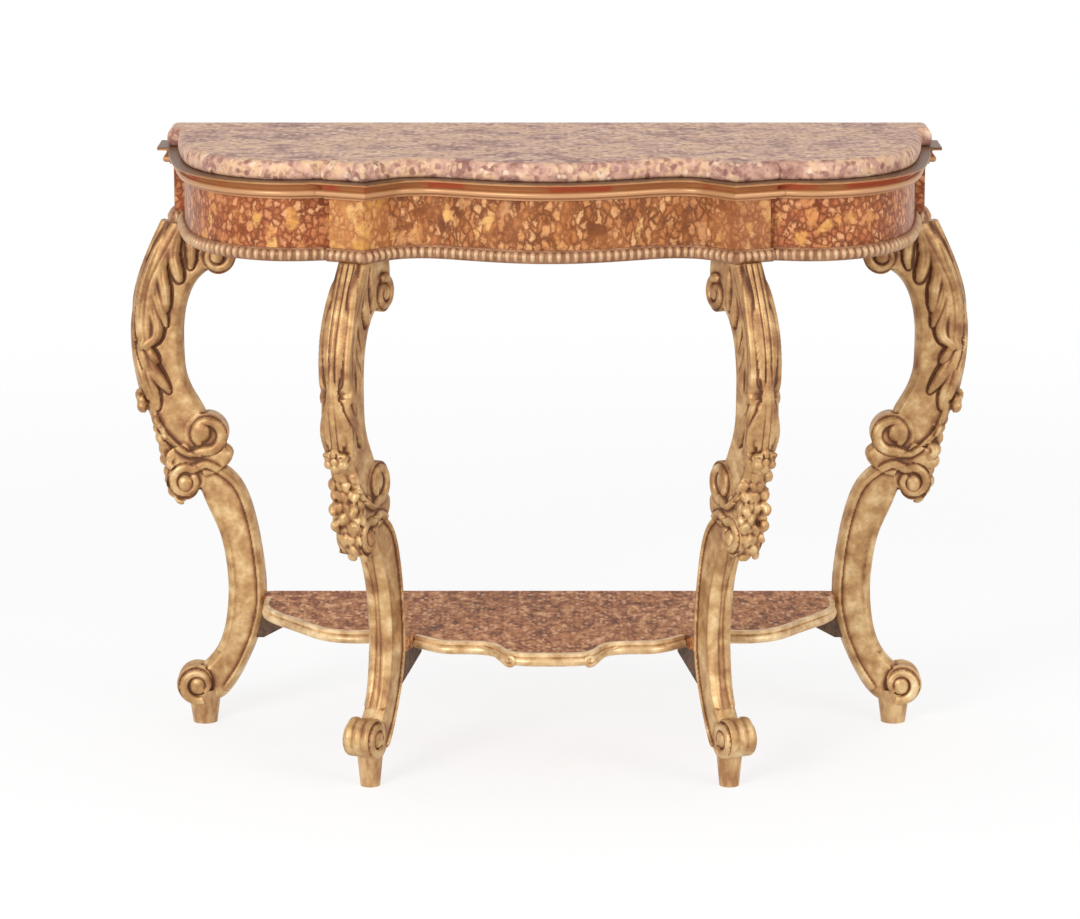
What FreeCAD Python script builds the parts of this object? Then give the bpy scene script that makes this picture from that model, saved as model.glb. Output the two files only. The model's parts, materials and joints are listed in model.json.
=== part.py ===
"""Carved and gilded pier table with a loose stone top, a bowed frieze, four scroll legs and a low shelf.

Millimetres. X runs to the viewer's right, the front faces -Y, Z is up and the floor is Z = 0.
Plan places are written as (x, depth), where depth is measured forward from the wall plane.
"""
import FreeCAD, Part
import math
import os
from FreeCAD import Placement, Rotation, Vector

# Heights of the horizontal layers
OVERALL_HEIGHT = 900.0
TOP_THICKNESS = 26.0
CORNICE_HEIGHT = 26.0
FRIEZE_SHOW = 69.0
BEAD_HEIGHT = 19.0
SHELF_HEIGHT = 197.0
SHELF_THICKNESS = 19.0
FRAME_TOP = OVERALL_HEIGHT - TOP_THICKNESS
FRAME_BOTTOM = FRAME_TOP - CORNICE_HEIGHT - FRIEZE_SHOW - BEAD_HEIGHT
SHELF_BOTTOM = SHELF_HEIGHT - SHELF_THICKNESS

# Plan of the frieze face: back ear, bowed side, pointed front post, serpentine centre
HALF_WIDTH = 548.0
FRIEZE_DEPTH = 436.0
EAR_DEPTH = 60.0
EAR_STEP = 17.0
POST_X = 281.0
POST_SETBACK = 11.0
POST_ANGLE = 25.0
POST_FACE = 53.0
POST_STEP = 14.0
POST_LENGTH = 62.0
FLANK_LENGTH = 47.0
FLANK_ANGLE = 45.0
# Points of the bow, as shares of its span beyond the post and of FRIEZE_DEPTH
SIDE_BOW_SHARES = ((0.953, 0.436), (0.818, 0.725), (0.518, 0.905), (0.282, 0.944))
# Points of the serpentine, as shares of its half span between the posts and of FRIEZE_DEPTH
SERPENTINE_SHARES = ((0.833, 0.884), (0.502, 0.932))

# Stone top
TOP_OVERHANG = 8.0
TOP_NOSE = 11.0
TOP_LOWER_ROUND = 6.0
NOSE_STEPS = 4

# Frame timber
RAIL_THICKNESS = 22.0
BACK_POST_WIDTH = 68.0
BEARER_X = 150.0
BEARER_WIDTH = 44.0
BEARER_HEIGHT = 32.0
GLUE_BLOCK = 38.0

# Sections of the mouldings, as shares of projection and height
# A round share gives the middle of the curved side that starts at the numbered point
CORNICE_PROJECTION = 22.0
CORNICE_SHARES = ((0, 0), (0.25, 0), (0.25, 0.11), (0.34, 0.14), (0.34, 0.50),
                  (0.30, 0.56), (0.88, 0.82), (1, 0.84), (1, 1), (0, 1))
CORNICE_ROUND_SHARES = {3: (0.66, 0.32), 5: (0.46, 0.76)}
BEAD_PROJECTION = 11.0
BEAD_SHARES = ((0, 0), (0.45, 0), (0.45, 0.80), (0.60, 0.86), (0.60, 1), (0, 1))
BEAD_ROUND_SHARES = {1: (1, 0.40)}
SHELF_EDGE_PROJECTION = 10.0
SHELF_EDGE_SHARES = ((0, 0), (0.50, 0), (0.50, 0.66), (0.72, 0.74), (0.72, 1), (0, 1))
SHELF_EDGE_ROUND_SHARES = {1: (1, 0.33)}

# Scroll legs, drawn in their own plane: reach is measured outward from the foot's axis
LEG_HEIGHT = FRAME_BOTTOM
LEG_REACH = 100.0
LEG_THICKNESS = 34.0
LEG_CHAMFER = 7.0
LEG_CROWN = 3.0
LEG_SETBACK = 44.0
FRONT_LEG_INSET = 5.5
BACK_LEG_OUTSET = 6.5
BACK_LEG_DEPTH = 31.0
# Cross-sections from the outer edge to the inner edge, as shares of LEG_REACH and LEG_HEIGHT
UPPER_SCROLL_SHARES = (
    ((0.23, 1.040), (-0.40, 1.040)),
    ((0.75, 0.938), (-0.05, 0.903)),
    ((0.92, 0.875), (0.20, 0.862)),
    ((1.00, 0.809), (0.31, 0.796)),
    ((0.98, 0.730), (0.31, 0.737)),
    ((0.88, 0.658), (0.21, 0.674)),
    ((0.70, 0.595), (0.03, 0.632)),
    ((0.42, 0.551), (-0.03, 0.603)),
    ((0.12, 0.538), (-0.06, 0.572)),
)
LOWER_SCROLL_SHARES = (
    ((0.30, 0.526), (0.26, 0.497)),
    ((0.00, 0.529), (0.08, 0.474)),
    ((-0.45, 0.497), (-0.06, 0.434)),
    ((-0.68, 0.434), (-0.22, 0.389)),
    ((-0.80, 0.357), (-0.32, 0.332)),
    ((-0.86, 0.258), (-0.35, 0.262)),
    ((-0.78, 0.193), (-0.30, 0.205)),
    ((-0.63, 0.141), (-0.20, 0.160)),
    ((-0.38, 0.079), (0.00, 0.124)),
    ((-0.08, 0.047), (0.14, 0.084)),
)
# Volutes: centres as shares of LEG_REACH and LEG_HEIGHT, angles where the ribbon starts, winding sense
VOLUTE_WIDTH = 42.0
VOLUTE_RELIEF = 3.0
TOP_VOLUTE_RADIUS = 27.0
TOP_VOLUTE_SHARES = (-0.23, 0.933)
TOP_VOLUTE_START = 80.0
KNEE_VOLUTE_RADIUS = 32.0
KNEE_VOLUTE_SHARES = (-0.03, 0.581)
KNEE_VOLUTE_START = -75.0
SHIN_VOLUTE_RADIUS = 28.0
SHIN_VOLUTE_SHARES = (0.28, 0.488)
SHIN_VOLUTE_START = 105.0
# The toes of the front legs are smaller and stand on taller feet
TOE_VOLUTE_RADIUS = 30.0
TOE_VOLUTE_SHARES = (0.15, 0.079)
TOE_VOLUTE_START = -110.0
TOE_VOLUTE_WIDTH = 50.0
FRONT_TOE_RADIUS = 28.0
FRONT_TOE_SHARES = (0.12, 0.097)
FRONT_TOE_WIDTH = 46.0
LEFT_WINDING = 1
RIGHT_WINDING = -1
VOLUTE_HALF_TURNS = 3
VOLUTE_STEP_SHARE = 0.25
VOLUTE_RIBBON_SHARE = 0.30
VOLUTE_EYE_SHARE = 0.22
EYE_PROUD = 0.5
KNEE_BOSS_SHARES = (0.12, 0.533)
KNEE_BOSS_REACH = 46.0
KNEE_BOSS_RISE = 25.0
KNEE_BOSS_WIDTH = 40.0

# Carved pieces applied to the knee: side outline of the leaf as shares of LEG_REACH and LEG_HEIGHT,
# its lobed front as shares of its width and length
KNEE_LEAF_WIDTH = 50.0
KNEE_LEAF_SHARES = ((0.80, 0.622), (0.75, 0.585), (0.69, 0.545), (0.63, 0.510), (0.585, 0.478), (0.50, 0.452))
KNEE_LEAF_ROOT_SHARE = 0.34
KNEE_LOBE_SHARES = ((0.30, 0), (0.50, 0.20), (0.43, 0.36), (0.47, 0.54), (0.34, 0.68), (0.28, 0.86), (0, 1))
LOBE_BULGE_SHARE = 0.125
BUD_RADIUS = 14.0
BUD_SHARES = (0.92, 0.640)

# Round peg feet, set a little out from or back from the leg's axis
FOOT_BOTTOM = 36.0
FOOT_TOP = 50.0
FOOT_HEIGHT = 52.0
FOOT_REACH = 6.0
FRONT_FOOT_BOTTOM = 28.0
FRONT_FOOT_TOP = 38.0
FRONT_FOOT_REACH = -4.0

# Shelf, whose edge is notched inside each front leg: the notch lies inside the leg's seat by an inset,
# and its corners lie to the two sides of the leg's plane
SHELF_HALF_WIDTH = 414.0
SHELF_DEPTH = 395.0
SHELF_BACK = 16.0
SHELF_END_GAP = 4.0
NOTCH_INSET = 37.0
NOTCH_LOBE_SIDE = 48.0
NOTCH_CENTRE_SIDE = 18.0
# Points of the lobe, as shares of its width and of its depth
SHELF_LOBE_SHARES = ((0.987, 0.326), (0.838, 0.535), (0.604, 0.795), (0.422, 0.957), (0.219, 1.015))
SHELF_LOBE_END_SHARES = (-0.96, -0.28)
# Points of the centre's edge, as shares of its half width and of its projection before the notch
SHELF_CENTRE_SHARES = ((0.791, 0.324), (0.549, 0.366), (0.387, 0.536), (0.277, 0.912), (0.170, 0.986))
SHELF_SEAT_SHARE = -0.84
TONGUE_WIDTH = 28.0
TONGUE_LENGTH = 120.0
BRACKET_WIDTH = 24.0
BRACKET_LENGTH = 62.0
BRACKET_DROP = 46.0
BRACKET_NOSE = 13.0

# Fasteners
DOWEL_RADIUS = 6.0
DOWEL_LENGTH = 84.0
DOWEL_INSETS = (24.0, 52.0)
SCREW_RADIUS = 2.2
SCREW_HEAD_RADIUS = 4.2
SCREW_HEAD_HEIGHT = 3.0
SCREW_BITE = 11.0
SCREW_SEAT = 12.0
SCREW_INSETS = (26.0, 44.0)
FIT_CLEARANCE = 0.15

# How far cutting tools and mouldings run on before they are trimmed
OVERRUN = 60.0
REACH = 4.0 * OVERALL_HEIGHT
# How closely arcs follow a drawn curve
CURVE_TOLERANCE = 0.3

UP = Vector(0, 0, 1)
FORWARD = Vector(0, -1, 0)
INWARD = Vector(-1, 0, 0)
ACROSS = Vector(0, 1, 0)


def at(x, depth, z=0.0):
    """A point from its place in plan and its height."""
    return Vector(x, -depth, z)


def unit(vector):
    return Vector(vector).normalize()


def outward(direction):
    """Outward normal of the frieze path, which runs forward on the right-hand side."""
    return Vector(-direction.y, direction.x, 0)


def mirrored(shape):
    return shape.mirror(Vector(0, 0, 0), INWARD)


def left_of(point):
    """The same plan point or direction seen in the mirror."""
    return Vector(-point.x, point.y, point.z)


def line(start, end):
    return Part.LineSegment(start, end).toShape()


def arc(start, middle, end):
    return Part.Arc(start, middle, end).toShape()


def spline(points, start=None, end=None):
    """Smooth curve through the points, with its end directions held where given."""
    curve = Part.BSplineCurve()
    if start is None:
        curve.interpolate(points)
    else:
        curve.interpolate(Points=points, InitialTangent=start, FinalTangent=end, Scale=False)
    return curve


def arcs_along(curve):
    """The curve as a chain of arcs that run smoothly into each other."""
    return [a.toShape() for a in curve.toBiArcs(CURVE_TOLERANCE)]


def face_of(edges):
    return Part.Face(Part.Wire(Part.sortEdges(edges)[0]))


def half_space(point, direction):
    """A block that covers everything beyond a plane."""
    box = Part.makeBox(REACH, REACH, REACH, Vector(0, -REACH / 2, -REACH / 2))
    box.Placement = Placement(point, Rotation(Vector(1, 0, 0), direction))
    return box


def trimmed(shape, point, direction):
    """The shape without what lies beyond the plane."""
    return shape.cut(half_space(point, direction))


def upright(face, bottom, top):
    """Upright prism on a plan face."""
    face.translate(UP * bottom)
    return face.extrude(UP * (top - bottom))


def prism(points, bottom, top):
    """Upright prism on a polygon of plan points."""
    return upright(Part.Face(Part.makePolygon(points + points[:1])), bottom, top)


def thick(face, size):
    """A face in the leg's plane made into a plate that lies evenly on both sides of it."""
    face.translate(ACROSS * (-size / 2))
    return face.extrude(ACROSS * size)


# Corners of the frieze path on the right-hand side, from the wall to the front point
post_turn = math.radians(POST_ANGLE)
flank_turn = math.radians(FLANK_ANGLE)
post_out = Vector(math.sin(post_turn), -math.cos(post_turn), 0)
post_across = Vector(-post_out.y, post_out.x, 0)
face_way = -post_across
flank_way = Vector(-math.cos(flank_turn), math.sin(flank_turn), 0)
flank_way_left = -left_of(flank_way)
post_middle = at(POST_X, FRIEZE_DEPTH - POST_SETBACK)
ear_back = at(HALF_WIDTH, 0)
ear_front = at(HALF_WIDTH, EAR_DEPTH)
bow_start = at(HALF_WIDTH - EAR_STEP, EAR_DEPTH)
post_outer = post_middle + post_across * (POST_FACE / 2)
post_arris = post_middle - post_across * (POST_FACE / 2)
bow_end = post_outer - post_out * POST_STEP
flank_end = post_arris + flank_way * FLANK_LENGTH

# Bowed side and serpentine centre of the path
bow_span = bow_start.x - bow_end.x
bow_points = [at(bow_end.x + x * bow_span, d * FRIEZE_DEPTH) for x, d in SIDE_BOW_SHARES]
bow_end_way = unit(bow_end - bow_points[-1])
bow_curve = spline([bow_start] + bow_points + [bow_end], FORWARD, bow_end_way)
centre_half = [at(x * flank_end.x, d * FRIEZE_DEPTH) for x, d in SERPENTINE_SHARES]
centre_points = centre_half + [at(0, FRIEZE_DEPTH)] + [left_of(p) for p in reversed(centre_half)]
centre_curve = spline([flank_end] + centre_points + [left_of(flank_end)], flank_way, flank_way_left)


def offset_points(curve, points, distance):
    """The points moved square to the curve, outward where distance is positive."""
    ways = [unit(curve.tangent(curve.parameter(p))[0]) for p in points]
    return [p + outward(w) * distance for p, w in zip(points, ways)]


def corner(point, way_in, way_out, distance):
    """A corner of the path moved outward by the distance on both of its sides."""
    one = outward(way_in)
    other = outward(way_out)
    return point + (one + other) * (distance / (1 + one.dot(other)))


def bow_offset(distance):
    """The bow's curve moved outward, between its two moved corners."""
    first = corner(bow_start, INWARD, FORWARD, distance)
    last = corner(bow_end, bow_end_way, post_out, distance)
    return spline([first] + offset_points(bow_curve, bow_points, distance) + [last], FORWARD, bow_end_way)


def centre_offset(distance):
    """The serpentine's curve moved outward, with its ends square to the flanks."""
    first = flank_end + outward(flank_way) * distance
    points = [first] + offset_points(centre_curve, centre_points, distance) + [left_of(first)]
    return spline(points, flank_way, flank_way_left)


# Loose stone top
def top_outline(distance, height):
    """Closed outline of the frieze moved outward, with its back left on the wall plane."""
    back = at(HALF_WIDTH + distance, 0)
    ear = corner(ear_front, FORWARD, INWARD, distance)
    bow = bow_offset(distance)
    point = corner(post_outer, post_out, face_way, distance)
    tip = corner(post_arris, face_way, flank_way, distance)
    centre = centre_offset(distance)
    half = [line(back, ear), line(ear, bow.StartPoint), bow.toShape(), line(bow.EndPoint, point)]
    half += [line(point, tip), line(tip, centre.StartPoint)]
    edges = half + [centre.toShape(), line(back, left_of(back))] + [mirrored(e) for e in half]
    wire = Part.Wire(Part.sortEdges(edges)[0])
    wire.translate(UP * height)
    return wire


def top_slab():
    """Stone slab whose edge has a small round below, a flat middle and a large round above."""
    low = TOP_LOWER_ROUND
    nose = min(TOP_NOSE, TOP_THICKNESS - 2 * low)
    quarter = [math.radians(90 * i / NOSE_STEPS) for i in range(NOSE_STEPS + 1)]
    edge = []
    for a in quarter:
        edge.append((TOP_OVERHANG - low * (1 - math.sin(a)), FRAME_TOP + low * (1 - math.cos(a))))
    for a in quarter:
        edge.append((TOP_OVERHANG - nose * (1 - math.cos(a)), OVERALL_HEIGHT - nose * (1 - math.sin(a))))
    return Part.makeLoft([top_outline(out, height) for out, height in edge], True, True)


# Mouldings planted on the frieze
def moulding(shares, round_shares, projection, height, base):
    """A function that places the moulding's section square to a path."""
    def section(start, way):
        def place(share):
            return start + outward(way) * (share[0] * projection) + UP * (base + share[1] * height)

        edges = []
        for i, share in enumerate(shares):
            after = shares[(i + 1) % len(shares)]
            if i in round_shares:
                edges.append(arc(place(share), place(round_shares[i]), place(after)))
            else:
                edges.append(line(place(share), place(after)))
        return Part.Wire(edges)

    return section


def straight_run(section, start, end):
    """Straight moulding, run past both of its ends for the mitres."""
    way = unit(end - start)
    return Part.Face(section(start - way * OVERRUN, way)).extrude(end - start + way * (2 * OVERRUN))


def swept_run(section, path, way):
    """Moulding swept along a path and left square at its ends."""
    sweep = Part.BRepOffsetAPI.MakePipeShell(path)
    sweep.setBiNormalMode(UP)
    sweep.add(section(path.OrderedVertexes[0].Point, way))
    sweep.build()
    sweep.makeSolid()
    return sweep.shape()


def curved_run(section, edges, start_way, end_way):
    """Moulding along a smooth path, run past both of its ends for the mitres."""
    path = Part.Wire(edges)
    first = path.OrderedVertexes[0].Point
    last = path.OrderedVertexes[-1].Point
    lead = line(first - start_way * OVERRUN, first)
    tail = line(last, last + end_way * OVERRUN)
    return swept_run(section, Part.Wire([lead] + path.OrderedEdges + [tail]), start_way)


def mitred(run, start, start_ways, end, end_ways):
    """A run cut back to the mitre planes at its two corners."""
    run = trimmed(run, start, -(start_ways[0] + start_ways[1]))
    return trimmed(run, end, end_ways[0] + end_ways[1])


def moulding_lengths(section):
    """Right-hand lengths of a planted moulding and its centre length, mitred to each other."""
    square = (FORWARD, FORWARD)
    ear_mitre = (FORWARD, INWARD)
    bow_mitre = (INWARD, FORWARD)
    step_mitre = (bow_end_way, post_out)
    edge_mitre = (post_out, face_way)
    tip_mitre = (face_way, flank_way)
    tip_mitre_left = (flank_way_left, -left_of(face_way))
    ear = mitred(straight_run(section, ear_back, ear_front), ear_back, square, ear_front, ear_mitre)
    ear_return = straight_run(section, ear_front, bow_start)
    ear = ear.fuse(mitred(ear_return, ear_front, ear_mitre, bow_start, bow_mitre))
    side = curved_run(section, arcs_along(bow_curve), FORWARD, bow_end_way)
    side = mitred(side, bow_start, bow_mitre, bow_end, step_mitre)
    post = mitred(straight_run(section, bow_end, post_outer), bow_end, step_mitre, post_outer, edge_mitre)
    front = straight_run(section, post_outer, post_arris)
    post = post.fuse(mitred(front, post_outer, edge_mitre, post_arris, tip_mitre)).cut(side)
    left_arris = left_of(post_arris)
    path = [line(post_arris, flank_end)] + arcs_along(centre_curve) + [line(left_of(flank_end), left_arris)]
    centre = curved_run(section, path, flank_way, flank_way_left)
    centre = mitred(centre, post_arris, tip_mitre, left_arris, tip_mitre_left)
    return {"ear": ear, "side": side, "post": post}, centre


# Frame of rails and posts behind the frieze face
def front_post():
    """Pointed block over the front leg: outer side, canted face, arris and flank."""
    seat = flank_end - outward(flank_way) * RAIL_THICKNESS
    inner = [post_arris - post_out * POST_LENGTH, post_outer - post_out * POST_LENGTH]
    return prism([post_outer, post_arris, flank_end, seat] + inner, FRAME_BOTTOM, FRAME_TOP)


def back_post():
    inner = HALF_WIDTH - BACK_POST_WIDTH
    return prism([ear_back, ear_front, at(inner, EAR_DEPTH), at(inner, 0)], FRAME_BOTTOM, FRAME_TOP)


def side_rail(post):
    """Bowed rail between the back post and the front post, scribed to the front post."""
    inner_start = bow_start + INWARD * RAIL_THICKNESS
    inner_end = bow_end - outward(bow_end_way) * RAIL_THICKNESS
    inner_points = offset_points(bow_curve, bow_points, -RAIL_THICKNESS)
    inner = spline([inner_start] + inner_points + [inner_end], FORWARD, bow_end_way)
    tail = bow_end_way * RAIL_THICKNESS
    edges = arcs_along(bow_curve) + [line(bow_end, bow_end + tail), line(bow_end + tail, inner_end + tail)]
    edges += [line(inner_end + tail, inner_end), inner.toShape(), line(inner_start, bow_start)]
    return upright(face_of(edges), FRAME_BOTTOM, FRAME_TOP).cut(post)


def apron_rail(post):
    """Serpentine rail between the flanks of the two front posts."""
    inner = centre_offset(-RAIL_THICKNESS)
    ends = [line(flank_end, inner.StartPoint), line(left_of(flank_end), inner.EndPoint)]
    rail = upright(face_of(arcs_along(centre_curve) + [inner.toShape()] + ends), FRAME_BOTTOM, FRAME_TOP)
    return rail.cut([post, mirrored(post)])


def back_rail():
    end = HALF_WIDTH - BACK_POST_WIDTH
    corners = [at(end, 0), at(end, RAIL_THICKNESS), at(-end, RAIL_THICKNESS), at(-end, 0)]
    return prism(corners, FRAME_BOTTOM, FRAME_TOP)


def top_bearer(apron):
    """Cross bearer under the stone, from the back rail to the apron rail, scribed to the apron."""
    near = BEARER_X - BEARER_WIDTH / 2
    far = BEARER_X + BEARER_WIDTH / 2
    corners = [at(near, RAIL_THICKNESS), at(far, RAIL_THICKNESS)]
    corners += [at(far, FRIEZE_DEPTH), at(near, FRIEZE_DEPTH)]
    pieces = prism(corners, FRAME_TOP - BEARER_HEIGHT, FRAME_TOP).cut(apron)
    return max(pieces.Solids, key=lambda s: s.BoundBox.YMax)


def glue_blocks():
    """Three-cornered blocks in the back corners and beside the bearers' back ends."""
    low = FRAME_TOP - BEARER_HEIGHT
    places = [(HALF_WIDTH - BACK_POST_WIDTH, INWARD), (BEARER_X - BEARER_WIDTH / 2, INWARD),
              (BEARER_X + BEARER_WIDTH / 2, -INWARD)]
    blocks = []
    for x, way in places:
        root = at(x, RAIL_THICKNESS)
        block = prism([root, root + way * GLUE_BLOCK, root + FORWARD * GLUE_BLOCK], low, low + GLUE_BLOCK / 2)
        blocks += [block, mirrored(block)]
    return Part.makeCompound(blocks)


# Scroll leg, made once in its own plane: X is the reach, Y the thickness, Z the height
def leg_point(shares):
    return Vector(shares[0] * LEG_REACH, 0, shares[1] * LEG_HEIGHT)


def scroll_section(outer_shares, inner_shares):
    """Ten-sided section: flat cheeks, chamfered arrises and crowned edges."""
    outer = leg_point(outer_shares)
    inner = leg_point(inner_shares)
    width = (outer - inner).Length
    way = unit(outer - inner)
    half = LEG_THICKNESS / 2
    chamfer = min(LEG_CHAMFER, width / 4)
    crown = min(LEG_CROWN, width / 8)
    rim = [(0, half - chamfer), (chamfer, half), (width - chamfer, half), (width, half - chamfer)]
    near = [inner + way * u + ACROSS * v for u, v in rim]
    far = [inner + way * u - ACROSS * v for u, v in reversed(rim)]
    ring = [inner - way * crown] + near + [outer + way * crown] + far
    return Part.makePolygon(ring + ring[:1])


def scroll_band(shares):
    return Part.makeLoft([scroll_section(outer, inner) for outer, inner in shares], True, False)


def half_circles(centre, radius, start_angle, winding, count, inset):
    """Spiral of half circles, each smaller by one step; inset draws a line inside the first one."""
    axis = math.radians(start_angle)
    toward = Vector(math.cos(axis), 0, math.sin(axis))
    side = Vector(-toward.z, 0, toward.x) * winding
    step = VOLUTE_STEP_SHARE * radius
    edges = []
    for i in range(count):
        middle = centre - toward * (step * (i % 2))
        r = (radius - step * i - inset) * (1 - 2 * (i % 2))
        edges.append(arc(middle + toward * r, middle + side * r, middle - toward * r))
    return edges


def volute(shares, radius, width, start_angle, winding):
    """Raised spiral ribbon on a sunk floor, with an eye in the middle."""
    centre = leg_point(shares)
    ribbon_width = VOLUTE_RIBBON_SHARE * radius

    def spiral(count, inset):
        return half_circles(centre, radius, start_angle, winding, count, inset)

    def ends(edges):
        return edges[0].Vertexes[0].Point, edges[-1].Vertexes[-1].Point

    outer = spiral(VOLUTE_HALF_TURNS, 0)
    inner = spiral(VOLUTE_HALF_TURNS, ribbon_width)
    caps = [line(a, b) for a, b in zip(ends(outer), ends(inner))]
    ribbon = face_of(outer + inner + caps)
    rim = spiral(2, ribbon_width / 2)
    floor = face_of(rim + [line(*ends(rim))])
    eye_width = width + 2 * EYE_PROUD
    eye = Part.makeCylinder(VOLUTE_EYE_SHARE * radius, eye_width, centre - ACROSS * (eye_width / 2), ACROSS)
    return thick(floor, width - 2 * VOLUTE_RELIEF).fuse([thick(ribbon, width), eye])


def knee_boss():
    """Oval core where the two scrolls cross."""
    oval = Part.Ellipse(Vector(0, 0, 0), KNEE_BOSS_REACH, KNEE_BOSS_RISE).toShape()
    oval.Placement = Placement(leg_point(KNEE_BOSS_SHARES), Rotation(Vector(1, 0, 0), 90))
    return thick(face_of([oval]), KNEE_BOSS_WIDTH)


def scroll_leg(toe_shares, toe_radius, toe_width):
    """Two C-scrolls with volutes at their ends, crossing at the knee and bored for the dowels."""
    leg = scroll_band(UPPER_SCROLL_SHARES).fuse(scroll_band(LOWER_SCROLL_SHARES)).fuse(knee_boss())
    volutes = [
        (TOP_VOLUTE_SHARES, TOP_VOLUTE_RADIUS, VOLUTE_WIDTH, TOP_VOLUTE_START, LEFT_WINDING),
        (KNEE_VOLUTE_SHARES, KNEE_VOLUTE_RADIUS, VOLUTE_WIDTH, KNEE_VOLUTE_START, RIGHT_WINDING),
        (SHIN_VOLUTE_SHARES, SHIN_VOLUTE_RADIUS, VOLUTE_WIDTH, SHIN_VOLUTE_START, RIGHT_WINDING),
        (toe_shares, toe_radius, toe_width, TOE_VOLUTE_START, LEFT_WINDING),
    ]
    for sizes in volutes:
        leg = leg.fuse(volute(*sizes))
    leg = trimmed(leg, UP * LEG_HEIGHT, UP).removeSplitter()
    for inset in DOWEL_INSETS:
        leg = leg.cut(dowel(inset, FIT_CLEARANCE))
    return max(leg.Solids, key=lambda s: s.Volume)


def dowel(inset, clearance=0.0):
    """Upright dowel in the leg's plane, half in the leg and half in the post above."""
    base = Vector(LEG_SETBACK - inset, 0, LEG_HEIGHT - DOWEL_LENGTH / 2 - clearance)
    return Part.makeCylinder(DOWEL_RADIUS + clearance, DOWEL_LENGTH + 2 * clearance, base, UP)


def foot(leg, bottom, top, reach):
    """Tapered peg under the toe scroll, hollowed to receive it."""
    peg = Part.makeCone(bottom / 2, top / 2, FOOT_HEIGHT, Vector(reach, 0, 0), UP).cut(leg)
    return min(peg.Solids, key=lambda s: s.BoundBox.ZMin)


def knee_leaf(leg):
    """Lobed leaf that laps over the outer side of the knee, seated on the leg."""
    edge = [leg_point(s) for s in KNEE_LEAF_SHARES]
    root = KNEE_LEAF_ROOT_SHARE * LEG_REACH
    top_root = Vector(root, 0, edge[0].z)
    low_root = Vector(root, 0, edge[-1].z)
    side = [spline(edge).toShape(), line(edge[-1], low_root)]
    side += [line(low_root, top_root), line(top_root, edge[0])]
    leaf = thick(face_of(side), KNEE_LEAF_WIDTH)
    length = edge[0].z - edge[-1].z
    near = [Vector(0, w * KNEE_LEAF_WIDTH, edge[0].z - d * length) for w, d in KNEE_LOBE_SHARES]
    lobes = []
    for a, b in zip(near, near[1:]):
        bulge = (ACROSS - UP) * (LOBE_BULGE_SHARE * (a - b).Length)
        lobe = arc(a, (a + b) / 2 + bulge, b)
        lobes += [lobe, lobe.mirror(Vector(0, 0, 0), ACROSS)]
    lobes.append(line(near[0], Vector(0, -near[0].y, near[0].z)))
    shield = face_of(lobes).extrude(Vector(LEG_REACH, 0, 0))
    return max(leaf.common(shield).cut(leg).Solids, key=lambda s: s.Volume)


def knee_bud(leg, leaf):
    """Round flower bud above the knee leaf, seated on both."""
    bud = Part.makeSphere(BUD_RADIUS, leg_point(BUD_SHARES)).cut(leg).cut(leaf)
    return max(bud.Solids, key=lambda s: s.Volume)


# Lower shelf, its edge moulding and its brackets
shelf_seat = SHELF_SEAT_SHARE * LEG_REACH
front_stand = post_middle - post_out * LEG_SETBACK - post_across * FRONT_LEG_INSET
notch_middle = front_stand + post_out * (shelf_seat - NOTCH_INSET)
notch_lobe = notch_middle + post_across * NOTCH_LOBE_SIDE
notch_centre = notch_middle - post_across * NOTCH_CENTRE_SIDE


def between(start, end, shares):
    """A plan point whose shares run from the start to the end, across and forward."""
    return Vector(start.x + shares[0] * (end.x - start.x), start.y + shares[1] * (end.y - start.y), 0)


# The lobe's width runs outward from the notch and its depth forward from the back leg
lobe_start = at(SHELF_HALF_WIDTH, BACK_LEG_DEPTH + LEG_THICKNESS / 2 + SHELF_END_GAP)
lobe_corner = Vector(notch_lobe.x, lobe_start.y, 0)
lobe_points = [between(lobe_corner, Vector(SHELF_HALF_WIDTH, notch_lobe.y, 0), s) for s in SHELF_LOBE_SHARES]
lobe_end_way = unit(at(*SHELF_LOBE_END_SHARES))
lobe_curve = spline([lobe_start] + lobe_points + [notch_lobe], FORWARD, lobe_end_way)
# The centre's half width runs out from the middle and its projection forward from the notch
shelf_corner = Vector(0, notch_centre.y, 0)
shelf_tip = Vector(notch_centre.x, -SHELF_DEPTH, 0)
shelf_half = [notch_centre] + [between(shelf_corner, shelf_tip, s) for s in SHELF_CENTRE_SHARES]
shelf_front = shelf_half + [at(0, SHELF_DEPTH)] + [left_of(p) for p in reversed(shelf_half)]
shelf_way = unit(shelf_half[1] - shelf_half[0])
shelf_curve = spline(shelf_front, shelf_way, -left_of(shelf_way))


def tongue():
    """Tongue of the shelf that meets the leg, in the leg's plane."""
    base = Vector(shelf_seat - TONGUE_LENGTH, -TONGUE_WIDTH / 2, SHELF_BOTTOM)
    return Part.makeBox(TONGUE_LENGTH + LEG_THICKNESS / 2, TONGUE_WIDTH, SHELF_THICKNESS, base)


def shelf_board(legs, places):
    """Board cut to the lobed outline, with a tongue scribed to each leg and blind holes for the screws."""
    back = at(SHELF_HALF_WIDTH, SHELF_BACK)
    half = [line(back, lobe_curve.StartPoint)] + arcs_along(lobe_curve)
    half.append(line(lobe_curve.EndPoint, shelf_curve.StartPoint))
    edges = half + arcs_along(shelf_curve) + [line(back, left_of(back))] + [mirrored(e) for e in half]
    board = upright(face_of(edges), SHELF_BOTTOM, SHELF_HEIGHT)
    board = board.fuse([placed(tongue(), *place) for place in places]).cut(legs)
    board = max(board.Solids, key=lambda s: s.Volume).removeSplitter()
    holes = [shelf_screw(inset, FIT_CLEARANCE) for inset in SCREW_INSETS]
    return board.cut([placed(hole, *place) for place in places for hole in holes])


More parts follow.
